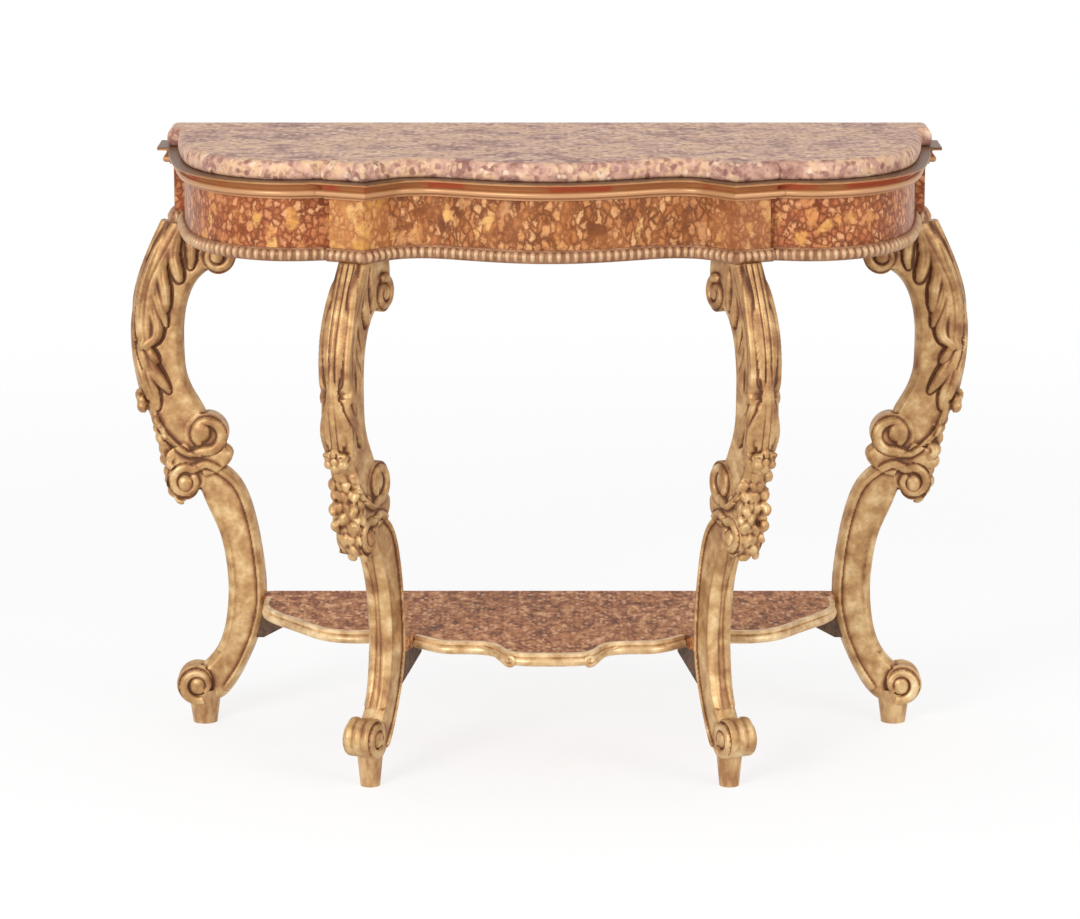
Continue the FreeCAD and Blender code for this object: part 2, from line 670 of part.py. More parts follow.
def shelf_bracket(leg):
    """Wedge under the shelf, scribed to the inner side of the leg."""
    tip = shelf_seat - BRACKET_LENGTH
    root = shelf_seat + LEG_THICKNESS
    low = SHELF_BOTTOM - BRACKET_DROP
    points = [Vector(root, 0, SHELF_BOTTOM), Vector(tip, 0, SHELF_BOTTOM)]
    points += [Vector(tip, 0, SHELF_BOTTOM - BRACKET_NOSE), Vector(shelf_seat, 0, low), Vector(root, 0, low)]
    wedge = thick(Part.Face(Part.makePolygon(points + points[:1])), BRACKET_WIDTH).cut(leg)
    wedge = min(wedge.Solids, key=lambda s: s.BoundBox.XMin)
    return wedge.cut([shelf_screw(inset, FIT_CLEARANCE, BRACKET_DROP) for inset in SCREW_INSETS])


def shelf_screw(inset, clearance=0.0, access=0.0):
    """Screw driven up through a bracket; a cutting copy can also open the way below its head."""
    seat = SHELF_BOTTOM - SCREW_SEAT
    low = Vector(shelf_seat - inset, 0, seat - SCREW_HEAD_HEIGHT - access)
    shank_length = SCREW_SEAT + SCREW_BITE + SCREW_HEAD_HEIGHT + access + clearance
    shank = Part.makeCylinder(SCREW_RADIUS + clearance, shank_length, low, UP)
    return shank.fuse(Part.makeCylinder(SCREW_HEAD_RADIUS + clearance, SCREW_HEAD_HEIGHT + access, low, UP))


# Where each leg and what belongs to it stands, and whether it is the mirrored one
front_place = Placement(front_stand, Rotation(Vector(1, 0, 0), post_out))
back_place = Placement(at(HALF_WIDTH - LEG_SETBACK + BACK_LEG_OUTSET, BACK_LEG_DEPTH), Rotation())
LEG_PLACES = {"front_right": (front_place, False), "front_left": (front_place, True),
              "back_right": (back_place, False), "back_left": (back_place, True)}


def placed(shape, place, mirror):
    moved = shape.copy()
    moved.Placement = place.multiply(moved.Placement)
    return mirrored(moved) if mirror else moved


def leg_pieces():
    """The four legs with their feet, carvings, brackets and fasteners."""
    front_leg = scroll_leg(FRONT_TOE_SHARES, FRONT_TOE_RADIUS, FRONT_TOE_WIDTH)
    back_leg = scroll_leg(TOE_VOLUTE_SHARES, TOE_VOLUTE_RADIUS, TOE_VOLUTE_WIDTH)
    leaf = knee_leaf(back_leg)
    bud = knee_bud(back_leg, leaf)
    alike = {"knee_leaf": leaf, "knee_bud": bud, "shelf_bracket": shelf_bracket(back_leg)}
    front_foot = foot(front_leg, FRONT_FOOT_BOTTOM, FRONT_FOOT_TOP, FRONT_FOOT_REACH)
    back_foot = foot(back_leg, FOOT_BOTTOM, FOOT_TOP, FOOT_REACH)
    parts = {}
    for corner_name, place in LEG_PLACES.items():
        in_front = corner_name.startswith("front")
        own = {"leg": front_leg, "foot": front_foot} if in_front else {"leg": back_leg, "foot": back_foot}
        for name, piece in {**own, **alike}.items():
            parts[f"{name}_{corner_name}"] = placed(piece, *place)
    places = LEG_PLACES.values()
    dowels = [placed(dowel(inset), *place) for place in places for inset in DOWEL_INSETS]
    screws = [placed(shelf_screw(inset), *place) for place in places for inset in SCREW_INSETS]
    parts["leg_dowels"] = Part.makeCompound(dowels)
    parts["shelf_screws"] = Part.makeCompound(screws)
    return parts


def frame_pieces():
    """Rails, posts, bearers and glue blocks behind the frieze face."""
    post = front_post()
    apron = apron_rail(post)
    bores = [placed(dowel(inset, FIT_CLEARANCE), place, False)
             for place in (front_place, back_place) for inset in DOWEL_INSETS]
    pairs = {"front_post": post.cut(bores), "back_post": back_post().cut(bores), "side_rail": side_rail(post),
             "top_bearer": top_bearer(apron)}
    parts = {"apron_rail": apron, "back_rail": back_rail(), "glue_blocks": glue_blocks()}
    for name, piece in pairs.items():
        parts[name + "_right"] = piece
        parts[name + "_left"] = mirrored(piece)
    return parts


def moulding_pieces():
    """Cornice under the stone and bead moulding at the foot of the frieze."""
    cornice = moulding(CORNICE_SHARES, CORNICE_ROUND_SHARES, CORNICE_PROJECTION, CORNICE_HEIGHT,
                       FRAME_TOP - CORNICE_HEIGHT)
    bead = moulding(BEAD_SHARES, BEAD_ROUND_SHARES, BEAD_PROJECTION, BEAD_HEIGHT, FRAME_BOTTOM)
    parts = {}
    for label, section in (("cornice", cornice), ("bead", bead)):
        lengths, centre = moulding_lengths(section)
        parts[label + "_centre"] = centre
        for name, length in lengths.items():
            parts[f"{label}_{name}_right"] = length
            parts[f"{label}_{name}_left"] = mirrored(length)
    return parts


def shelf_pieces(legs):
    """Shelf board and the moulding on its front edges."""
    section = moulding(SHELF_EDGE_SHARES, SHELF_EDGE_ROUND_SHARES, SHELF_EDGE_PROJECTION, SHELF_THICKNESS,
                       SHELF_BOTTOM)
    lobe = swept_run(section, Part.Wire(arcs_along(lobe_curve)), FORWARD)
    front = swept_run(section, Part.Wire(arcs_along(shelf_curve)), shelf_way)
    board = shelf_board(legs, LEG_PLACES.values())
    return {"shelf_board": board, "shelf_edge_centre": front, "shelf_edge_right": lobe,
            "shelf_edge_left": mirrored(lobe)}


def main():
    os.makedirs("parts", exist_ok=True)
    parts = {"top_slab": top_slab()}
    parts.update(moulding_pieces())
    parts.update(frame_pieces())
    parts.update(leg_pieces())
    parts.update(shelf_pieces([parts["leg_" + name] for name in LEG_PLACES]))
    whole = Part.makeCompound(list(parts.values())).optimalBoundingBox(True, False)
    to_middle = at(0, (whole.YMin + whole.YMax) / 2)
    for name, shape in parts.items():
        moved = shape.copy()
        moved.translate(to_middle)
        moved.exportStep(f"parts/{name}.step")
        if not moved.isValid():
            print("not valid:", name)
    print(f"{len(parts)} pieces, {whole.XLength:.1f} x {whole.YLength:.1f} x {whole.ZLength:.1f} mm")


main()
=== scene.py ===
# %% [markdown]
# # A carved and gilded pier table
# A pier table stands against the wall between two windows. This one has a stone top, a painted frieze and four
# gilded scroll legs. The sizes come from the CAD model, so the lesson starts by loading it. Blender adds what the
# CAD leaves out: carving, gold leaf, marbling, light and a camera.

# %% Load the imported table
import json
import math

import bpy
import numpy as np
from mathutils import Matrix, Vector
from mathutils.bvhtree import BVHTree


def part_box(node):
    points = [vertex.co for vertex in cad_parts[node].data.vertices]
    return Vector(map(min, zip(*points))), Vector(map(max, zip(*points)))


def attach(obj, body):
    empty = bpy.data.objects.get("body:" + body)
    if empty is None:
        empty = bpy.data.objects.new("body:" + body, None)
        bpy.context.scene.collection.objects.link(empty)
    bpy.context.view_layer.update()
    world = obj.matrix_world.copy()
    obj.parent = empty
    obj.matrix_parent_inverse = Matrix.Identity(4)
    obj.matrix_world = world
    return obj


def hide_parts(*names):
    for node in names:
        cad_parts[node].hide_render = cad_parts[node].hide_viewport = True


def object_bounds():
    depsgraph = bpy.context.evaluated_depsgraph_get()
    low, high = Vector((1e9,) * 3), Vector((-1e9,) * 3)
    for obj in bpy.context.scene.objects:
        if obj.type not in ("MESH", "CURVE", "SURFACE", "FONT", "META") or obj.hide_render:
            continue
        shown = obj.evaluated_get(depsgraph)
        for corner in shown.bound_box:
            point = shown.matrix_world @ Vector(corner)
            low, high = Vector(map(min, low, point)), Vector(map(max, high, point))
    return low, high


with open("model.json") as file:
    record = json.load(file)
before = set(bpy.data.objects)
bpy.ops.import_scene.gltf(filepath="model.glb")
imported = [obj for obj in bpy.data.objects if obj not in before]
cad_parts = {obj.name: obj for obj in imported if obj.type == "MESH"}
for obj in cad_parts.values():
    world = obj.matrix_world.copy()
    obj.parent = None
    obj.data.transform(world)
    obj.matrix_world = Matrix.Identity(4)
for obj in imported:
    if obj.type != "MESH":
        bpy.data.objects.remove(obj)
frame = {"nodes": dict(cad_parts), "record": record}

MM = 0.001
nodes = frame["nodes"]
cad_low, cad_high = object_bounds()
print("pieces loaded:", len(nodes), "size in m:", [round(s, 3) for s in cad_high - cad_low])

# %% [markdown]
# ## The camera
# The photograph was taken from about six and a half metres away, at the eye height of someone standing. A long lens
# from far away keeps the legs nearly parallel. The camera looks straight at the table and is only tilted down.

# %% Camera at the photograph's viewing angle
CAMERA_PLACE = (-0.0139, -6.2676, 1.739)
CAMERA_TILT_DOWN = 11.67
CAMERA_LENS_MM = 148.5

bpy.ops.object.select_all(action="DESELECT")
bpy.ops.object.camera_add(location=CAMERA_PLACE, rotation=(math.radians(90 - CAMERA_TILT_DOWN), 0, 0))
camera = bpy.context.object
camera.name = "photograph_camera"
camera.data.sensor_fit = "HORIZONTAL"
camera.data.sensor_width = 36
camera.data.lens = CAMERA_LENS_MM
bpy.context.scene.camera = camera
bpy.context.scene.view_settings.view_transform = "Standard"
print("camera lens:", camera.data.lens, "mm")

# %% [markdown]
# ## Small helpers for materials
# Every finish below is a small tree of nodes. One function turns a given colour into the linear numbers that
# Blender works with, and one function adds a node, sets it up and links its inputs.

# %% Colour and node helpers
def linear(code):
    """A colour written as sRGB hex, as linear red, green, blue and alpha."""
    parts = [value / 255 for value in bytes.fromhex(code[1:])]
    return tuple(p / 12.92 if p <= 0.04045 else ((p + 0.055) / 1.055) ** 2.4 for p in parts) + (1.0,)


def add(tree, kind, inputs=None, stops=None, **settings):
    """Add one node: its settings, the stops of a colour ramp, and a value or a link for each input."""
    node = tree.nodes.new(kind)
    for name, value in settings.items():
        setattr(node, name, value)
    for i, (place, colour) in enumerate(stops or []):
        ramp = node.color_ramp.elements
        stop = ramp[i] if i < len(ramp) else ramp.new(place)
        stop.position = place
        stop.color = linear(colour)
    for name, value in (inputs or {}).items():
        if isinstance(value, bpy.types.NodeSocket):
            tree.links.new(value, node.inputs[name])
        else:
            node.inputs[name].default_value = value
    return node


def new_finish(name):
    """An empty material with its shader, and the coordinates that every pattern reads."""
    material = bpy.data.materials.new(name)
    material.use_nodes = True
    tree = material.node_tree
    tree.nodes.clear()
    shader = add(tree, "ShaderNodeBsdfPrincipled")
    add(tree, "ShaderNodeOutputMaterial", {"Surface": shader.outputs["BSDF"]})
    place = add(tree, "ShaderNodeTexCoord").outputs["Object"]
    return material, tree, shader, place


print("white as linear colour:", linear("#FFFFFF"))

# %% [markdown]
# ## Floor and light
# The photograph has a white background with a faint shadow round the feet. The floor is a white disc: to the camera it
# glows a little and takes only a pale shadow, and to the table it is plain white paint. Its rim fades into the world,
# which is white to the camera. Two large soft lamps stand at the left and right, as in a studio.

# %% Floor
FLOOR_RADIUS = 4.0
FADE_START = 1.2
FLOOR_GLOW = 0.76

bpy.ops.object.select_all(action="DESELECT")
bpy.ops.mesh.primitive_circle_add(vertices=96, radius=FLOOR_RADIUS, fill_type="NGON", location=(0, 0, cad_low.z))
floor = bpy.context.object
floor.name = "studio_floor"
paint = bpy.data.materials.new("matt_white_studio_floor")
paint.use_nodes = True
tree = paint.node_tree
tree.nodes.clear()
path = add(tree, "ShaderNodeLightPath")
seen = add(tree, "ShaderNodeMath", {0: path.outputs["Is Camera Ray"], 1: path.outputs["Is Glossy Ray"]},
           operation="MAXIMUM")
plain = add(tree, "ShaderNodeBsdfDiffuse", {"Color": linear("#F4F4F4")})
shaded = add(tree, "ShaderNodeBsdfDiffuse", {"Color": linear("#8E8E8E")})
glow = add(tree, "ShaderNodeEmission", {"Color": linear("#FFFFFF"), "Strength": FLOOR_GLOW})
pale = add(tree, "ShaderNodeAddShader", {0: shaded.outputs["BSDF"], 1: glow.outputs["Emission"]})
look = add(tree, "ShaderNodeMixShader", {0: seen.outputs["Value"], 1: plain.outputs["BSDF"],
                                         2: pale.outputs["Shader"]})
place = add(tree, "ShaderNodeTexCoord").outputs["Object"]
far = add(tree, "ShaderNodeVectorMath", {0: place}, operation="LENGTH")
fade = add(tree, "ShaderNodeMapRange", {"Value": far.outputs["Value"], "From Min": FADE_START,
                                        "From Max": FLOOR_RADIUS}, interpolation_type="SMOOTHSTEP")
clear = add(tree, "ShaderNodeBsdfTransparent")
whole = add(tree, "ShaderNodeMixShader", {0: fade.outputs["Result"], 1: look.outputs["Shader"],
                                          2: clear.outputs["BSDF"]})
add(tree, "ShaderNodeOutputMaterial", {"Surface": whole.outputs["Shader"]})
floor.data.materials.append(paint)
print("floor radius:", FLOOR_RADIUS, "m")

# %% World and lamps
WORLD_STRENGTH = 0.62

world = bpy.data.worlds.new("white_studio")
bpy.context.scene.world = world
world.use_nodes = True
tree = world.node_tree
tree.nodes.clear()
path = add(tree, "ShaderNodeLightPath")
seen = add(tree, "ShaderNodeMath", {0: path.outputs["Is Camera Ray"], 1: path.outputs["Is Transmission Ray"]},
           operation="MAXIMUM")
seen = add(tree, "ShaderNodeMath", {0: seen.outputs["Value"], 1: path.outputs["Is Glossy Ray"]}, operation="MAXIMUM")
soft = add(tree, "ShaderNodeBackground", {"Color": linear("#FFFFFF"), "Strength": WORLD_STRENGTH})
white = add(tree, "ShaderNodeBackground", {"Color": linear("#FFFFFF"), "Strength": 1.0})
mixed = add(tree, "ShaderNodeMixShader", {0: seen.outputs["Value"], 1: soft.outputs["Background"],
                                          2: white.outputs["Background"]})
add(tree, "ShaderNodeOutputWorld", {"Surface": mixed.outputs["Shader"]})

# Each lamp: its place and its width in metres, and its power in watts
LAMPS = {"key_lamp": ((-2.4, -4.0, 2.0), 1.5, 118.0), "fill_lamp": ((3.2, -3.0, 2.0), 2.0, 55.0)}
LIT_SPOT = Vector((0, 0, 0.5))
for name, (spot, size, power) in LAMPS.items():
    aim = LIT_SPOT - Vector(spot)
    bpy.ops.object.light_add(type="AREA", location=spot, rotation=aim.to_track_quat("-Z", "Y").to_euler())
    lamp = bpy.context.object
    lamp.name = name
    lamp.data.size = size
    lamp.data.energy = power
    print(name, power, "W")

# %% [markdown]
# ## Drawing on a leg
# Each leg is sawn from a plank as two C-shaped scrolls that meet at the knee, and a carver then adds leaves, rolled
# rims and a flower. The CAD leg is the sawn blank. To say where a leaf lies, it helps to count stations along a scroll
# and to give a share across it, so the two scrolls are written down here in millimetres, seen from the leg's side.

# %% The two scrolls of a leg, in mm out from the leg's middle line and up from the floor
UPPER_STATIONS = [((23, 790), (-40, 790)), ((75, 713), (-5, 686)), ((92, 665), (20, 655)), ((100, 615), (31, 605)),
                  ((98, 555), (31, 560)), ((88, 500), (21, 512)), ((70, 452), (3, 480)), ((42, 419), (-3, 458)),
                  ((12, 409), (-6, 435))]
LOWER_STATIONS = [((30, 400), (26, 378)), ((0, 402), (8, 360)), ((-45, 378), (-6, 330)), ((-68, 330), (-22, 296)),
                  ((-80, 271), (-32, 252)), ((-86, 196), (-35, 199)), ((-78, 147), (-30, 156)),
                  ((-63, 107), (-20, 122)), ((-38, 60), (0, 94)), ((-8, 36), (14, 64))]
FINE = 20  # points from one station to the next


def smooth_line(points, steps=5):
    """A smooth line through the points. Every number of a point rides along, so widths blend too."""
    rows = np.array(points, dtype=float)
    ends = np.vstack([rows[:1], rows, rows[-1:]])
    line = []
    for a, b, c, d in zip(ends, ends[1:], ends[2:], ends[3:]):
        for t in np.arange(steps) / steps:
            line.append(b + (c - a) * t / 2 + (2 * a - 5 * b + 4 * c - d) * t ** 2 / 2
                        + (3 * b - a - 3 * c + d) * t ** 3 / 2)
    return np.array(line + [rows[-1]])


upper_scroll = smooth_line([(*outer, *inner) for outer, inner in UPPER_STATIONS], FINE)
lower_scroll = smooth_line([(*inner, *outer) for inner, outer in LOWER_STATIONS], FINE)


def on_scroll(scroll, along, across):
    """A place on a scroll: stations along it, and a share across it from its first edge."""
    row = scroll[round(along * FINE)]
    return tuple(row[:2] * (1 - across) + row[2:] * across)


print("middle of the upper scroll:", [round(v) for v in on_scroll(upper_scroll, 4, 0.5)])

# %% [markdown]
# ## Leaves on the cheeks
# A long acanthus leaf lies on the outer half of each flat cheek, with pointed leaflets, a tip that curls outward and a
# second leaf below it. A carver leaves each leaflet standing as a rounded ridge. So each list below is one ridge from
# root to tip: a station along the scroll, a share across it, and half the ridge's width and its height in millimetres.

# %% Leaf ridges on the upper scroll
CHEEK_LEAF = [
    [(0.30, 0.18, 11, 4.5), (1.5, 0.19, 15, 6.0), (2.4, 0.19, 16, 6.5), (3.1, 0.21, 15, 7.0), (3.45, 0.24, 11, 8.0),
     (3.62, 0.18, 8, 8.5), (3.70, 0.10, 5, 7.0)],
    [(0.25, 0.25, 6, 3.0), (0.55, 0.47, 8, 5.5), (0.82, 0.66, 7.5, 7.0), (0.98, 0.73, 4.5, 5.0)],
    [(0.45, 0.20, 6, 3.0), (0.85, 0.36, 9, 6.0), (1.15, 0.53, 9.5, 8.0), (1.38, 0.65, 7, 7.5), (1.50, 0.69, 4, 5.0)],
    [(1.00, 0.20, 7, 3.0), (1.50, 0.36, 9, 6.0), (2.00, 0.51, 9, 8.0), (2.38, 0.61, 7, 7.5), (2.58, 0.65, 4, 5.0)],
    [(1.70, 0.22, 7, 3.0), (2.20, 0.38, 8, 6.0), (2.65, 0.54, 8, 7.5), (2.92, 0.63, 5.5, 6.5), (3.04, 0.67, 3.5, 4.5)],
    [(2.20, 0.22, 7, 3.0), (2.70, 0.38, 8, 6.5), (3.10, 0.49, 9, 9.0), (3.38, 0.46, 8.5, 9.5), (3.57, 0.35, 7, 9.0),
     (3.68, 0.23, 5, 7.5)],
    [(3.55, 0.16, 6, 3.0), (3.75, 0.28, 6.5, 6.0), (3.93, 0.37, 7, 7.5), (4.08, 0.44, 4, 5.0)],
    [(3.75, 0.15, 7, 3.0), (4.10, 0.26, 9, 6.0), (4.50, 0.39, 9.5, 8.0), (4.82, 0.50, 6.5, 7.0),
     (5.02, 0.55, 3.5, 4.5)],
    [(3.72, 0.10, 7, 5.0), (4.10, 0.13, 11, 6.5), (4.60, 0.17, 12, 6.5), (5.10, 0.20, 9, 5.0), (5.40, 0.18, 5, 3.5)],
]
leaf_ridges = [[(*on_scroll(upper_scroll, a, c), w, h) for a, c, w, h in ridge] for ridge in CHEEK_LEAF]
print("ridges in the cheek leaf:", len(leaf_ridges))

# %% [markdown]
# ## Volutes and rims
# Every end of a scroll rolls up into a volute, and a rounded rim runs from one volute to the next. On this table the
# volutes are short and fat: about one turn of the rim round a ball. A spiral is easiest to draw by its angle and a
# shrinking radius.

# %% Spirals and the balls inside them
def spiral(centre, radius, start, sense, turns=0.92, height=5.5):
    """A ridge that winds into a volute, from 0.8 to 0.5 of its radius, and gets thinner on its way."""
    rows = []
    for t in np.linspace(0, 1, 13):
        angle = math.radians(start + sense * 360 * turns * t)
        reach = radius * (0.80 - 0.30 * t)
        rows.append((centre[0] + reach * math.cos(angle), centre[1] + reach * math.sin(angle),
                     radius * (0.25 - 0.06 * t), height))
    return rows


def ball(centre, radius, height=7.5):
    """A round boss in the middle of a volute."""
    return [(centre[0], centre[1] - 0.06 * radius, 0.40 * radius, height),
            (centre[0], centre[1] + 0.06 * radius, 0.40 * radius, height)]


# Each volute: its centre, as mm out and up, and its radius
TOP_VOLUTE = ((-23, 709), 27)
KNEE_VOLUTE = ((-3, 442), 32)
SHIN_VOLUTE = ((28, 371), 28)
BACK_TOE = ((15, 60), 30)
FRONT_TOE = ((12, 73.7), 28)
print("points in a spiral:", len(spiral(*TOP_VOLUTE, 80, 1)))

# %% Rims that lead into the volutes
knee_rim = [(*on_scroll(upper_scroll, a, c), 5.0, h) for a, c, h in (
    (5.3, 0.10, 2.5), (5.75, 0.07, 3.5), (6.3, 0.06, 4.5), (6.8, 0.08, 5.0), (7.3, 0.06, 5.0), (7.6, 0.06, 5.5))]
shin_rim = [(*on_scroll(lower_scroll, a, 0.09), 6.0, 3.5) for a in (8.2, 7.5, 6.8, 6, 5, 4, 3, 2.2, 1.5, 1.05)]
roll_ridges = [
    knee_rim + spiral(*KNEE_VOLUTE, -80, -1, 0.9), ball((4, 446), KNEE_VOLUTE[1]),
    shin_rim + spiral(*SHIN_VOLUTE, 120, -1), ball((29, 368), SHIN_VOLUTE[1]),
    spiral(*TOP_VOLUTE, 80, 1), ball((-22, 710), TOP_VOLUTE[1]),
]
print("ridges in the volutes:", len(roll_ridges))

# %% [markdown]
# ## Ribs on the outer face
# On its outer face the leaf shows as five long ribs. Near the middle of the scroll a second leaf starts under their
# tips and spreads towards the knee. The lower scroll has a raised border on both sides of its hollow face. These ridges
# are placed by mm sideways and mm up.

# %% Rib ridges, seen from the leg's outer side
OUTER_RIBS = []
for y, tip in ((-15, 580), (-7.5, 592), (0, 612), (7.5, 592), (15, 580)):
    OUTER_RIBS.append([(y, 758, 3.4, 2.5), (y, 705, 4.2, 4.2), (y, 650, 4.2, 4.0), (y, tip, 2.2, 1.5)])
for y, root in ((-15, 566), (-7.5, 600), (0, 628), (7.5, 600), (15, 566)):
    OUTER_RIBS.append([(0.5 * y, root, 2.2, 2.0), (0.85 * y, root - 30, 4.2, 4.4), (y, 518, 4.4, 4.2),
                       (y, 498, 3.6, 3.0)])
HOLLOW_BORDERS = [[(y, 345, 6, 1.5), (y, 280, 10, 3.2), (y, 200, 10, 3.2), (y, 115, 8, 2.0)] for y in (-14, 14)]
print("ribs and borders:", len(OUTER_RIBS), len(HOLLOW_BORDERS))

# %% [markdown]
# ## Flower and leaf bunch on the knee
# A small flower sits on the knee and a bunch of curled leaves hangs below it, rougher than the rest. They stand well
# off the blank, so raised ridges aren't enough. They are drawn with tapered curves instead: a curve has a radius at
# each point, like a stroke of clay. A point of a stroke is mm out, sideways and up, and the radius there.

# %% Flower: a dome, six petals and a bud
FLOWER_OUT, FLOWER_UP = 91, 489
petals = [[(FLOWER_OUT + out, 0, FLOWER_UP, r) for out, r in ((-20, 14), (-14, 15), (-10, 14))]]
for i in range(6):
    angle = math.radians(60 * i + 30)
    y, z = 12.5 * math.cos(angle), 10.0 * math.sin(angle)
    petals.append([(FLOWER_OUT + out, share * y, FLOWER_UP + share * z, r)
                   for out, share, r in ((-8, 0.3, 6), (1, 0.8, 8), (2, 1.1, 7.5), (-5, 1.25, 5))])
petals.append([(FLOWER_OUT + out, 0, FLOWER_UP, r) for out, r in ((0, 6), (5, 6.5), (9, 4))])
print("strokes in the flower:", len(petals))

# %% Leaf bunch: a core, and rows of curled lumps that all differ a little
# Each row: reach out, height, half width
CLUSTER_ROWS = [(82, 476, 19), (79, 464, 20), (77, 450, 22), (74, 435, 23), (70, 418, 23), (66, 401, 22),
                (63, 385, 22), (60, 370, 22), (55, 356, 21), (47, 347, 19)]
jitter = np.random.default_rng(7)
lumps = [[(62, 0, 486, 10), (58, 0, 440, 15), (50, 0, 400, 14), (40, 0, 366, 11)]]
for row, (q, z, half) in enumerate(CLUSTER_ROWS):
    for k in range(4):
        y = (half - 6) * ((k + 0.2 + 0.6 * (row % 2)) / 2 - 1 + jitter.uniform(-0.12, 0.12))
        turn = jitter.choice((-4, 4))
        size = jitter.uniform(0.75, 1.2)
        out = q - 7 - 7 * (abs(y) / 18) ** 2 + jitter.uniform(-2, 2)
        lumps.append([(out - 9, 0.9 * y, z + 8, 5.0 * size), (out, y, z + 5, 6.8 * size),
                      (out + 2, y + turn, z - 2, 6.4 * size), (out - 3, y + 1.3 * turn, z - 8, 4.8 * size),
                      (out - 7, y + 1.3 * turn, z - 7, 3.5 * size)])
print("lumps in the bunch:", len(lumps))

# %% Lumps on a front leg's cheeks between rim and volute, and a fringe behind every knee
CHEEK_LUMPS = [(64, 436), (70, 416), (55, 420), (58, 400), (67, 390), (46, 407)]
cheek_lumps, fringes = [], []
for q, z in CHEEK_LUMPS:
    for side in (-1, 1):
        turn = jitter.choice((-5, 5))
        cheek_lumps.append([(q - turn, 12 * side, z + 6, 5), (q, 16 * side, z + 3, 7),
                            (q + 0.6 * turn, 16.5 * side, z - 3, 6.5), (q + 1.2 * turn, 13 * side, z - 7, 4)])
for side in (-1, 1):
    fringes.append([(-14, 8 * side, 418, 8), (-29, 10 * side, 417, 10), (-34, 10 * side, 407, 10),
                    (-24, 9 * side, 396, 7)])
print("lumps on the cheeks:", len(cheek_lumps), "fringes:", len(fringes))


# %% Bands of leaf round a toe
WRAP_PROUD = 3.5  # mm that a band stands out from its toe


def toe_wraps(centre, radius, half_width):
    """Three bands of leaf that roll over the front of a toe."""
    wraps = []
    for share, rope in ((-0.62, 7.5), (0.0, 8.0), (0.62, 7.5)):
        rows = []
        for degrees in (115, 80, 45, 10, -25, -60):
            a = math.radians(degrees)
            reach = radius - rope + WRAP_PROUD
            rows.append((centre[0] + reach * math.cos(a), share * half_width, centre[1] + reach * math.sin(a),
                         rope if -30 < degrees < 100 else 0.7 * rope))
        wraps.append(rows)
    return wraps


TOES = {"front": (FRONT_TOE, 23), "back": (BACK_TOE, 25)}  # each toe's volute and half width
print("bands round a toe:", len(toe_wraps(*FRONT_TOE, TOES["front"][1])))

# %% [markdown]
# ## From blank to carved leg
# The strokes become a mesh and are joined to a copy of the CAD blank. A voxel remesh fuses them into one even skin, and
# the ridges are then raised on that skin by moving its points, as a sculpting brush does. This is done in code, because
# a brush needs a window. Beside each ridge the points sink a little: that is the carver's outline cut.

# %% Draw strokes
def pick(piece):
    """Select one object alone and make it active."""
    bpy.ops.object.select_all(action="DESELECT")
    piece.select_set(True)
    bpy.context.view_layer.objects.active = piece


def draw_strokes(name, strokes):
    """Tapered strokes as one mesh, selected and active. Each point of a stroke is a place and a radius in mm."""
    curve = bpy.data.curves.new(name, "CURVE")
    curve.dimensions = "3D"
    curve.bevel_depth = MM
    curve.bevel_resolution = 2
    curve.resolution_u = 5
    curve.use_fill_caps = True
    for points in strokes:
        spline = curve.splines.new("NURBS")
        spline.points.add(len(points) - 1)
        for knot, (q, y, z, r) in zip(spline.points, points):
            knot.co = (q * MM, y * MM, z * MM, 1)
            knot.radius = r
        spline.order_u = 3
        spline.use_endpoint_u = True
    drawn = bpy.data.objects.new(name, curve)
    bpy.context.scene.collection.objects.link(drawn)
    pick(drawn)
    bpy.ops.object.convert(target="MESH")
    print("strokes for", name + ":", len(strokes))
    return bpy.context.object


# %% Fuse strokes with a blank
MERGE = 0.02 * MM
SKIN_VOXEL = 1.6 * MM


def fused_blank(name, to_leg, strokes):
    """A blank and its strokes under one skin, in the leg's own millimetre frame scaled to metres."""
    draw_strokes(name, strokes)
    blank = bpy.data.objects.new(name + "_blank", nodes[name].data.copy())
    blank.data.transform(to_leg)
    bpy.context.scene.collection.objects.link(blank)
    blank.select_set(True)
    bpy.ops.object.join()
    bpy.ops.object.mode_set(mode="EDIT")
    bpy.ops.mesh.select_all(action="SELECT")
    bpy.ops.mesh.remove_doubles(threshold=MERGE)
    bpy.ops.object.mode_set(mode="OBJECT")
    fused = bpy.context.object
    skin = fused.modifiers.new("one_skin", "REMESH")
    skin.mode = "VOXEL"
    skin.voxel_size = SKIN_VOXEL
    soften = fused.modifiers.new("soften", "SMOOTH")
    soften.factor = 0.5
    soften.iterations = 2
    bpy.ops.object.modifier_apply(modifier="one_skin")
    bpy.ops.object.modifier_apply(modifier="soften")
    bpy.ops.object.shade_smooth()
    print(name, "triangles:", 2 * len(fused.data.polygons))
    return fused


# %% Height of ridges
BACK, SHOULDER = 2.5, 0.6  # a ridge's section: a higher first number flattens its back, a lower second its shoulders
FAR_OFF = 9.0              # half widths, further than any groove reaches
VEIN_BREADTH = 0.16        # half widths
MEETING = 5                # how sharply two ridges meet: a higher number gives a crisper valley
CUT_COVER = 1.5            # mm of relief that fill an outline cut again


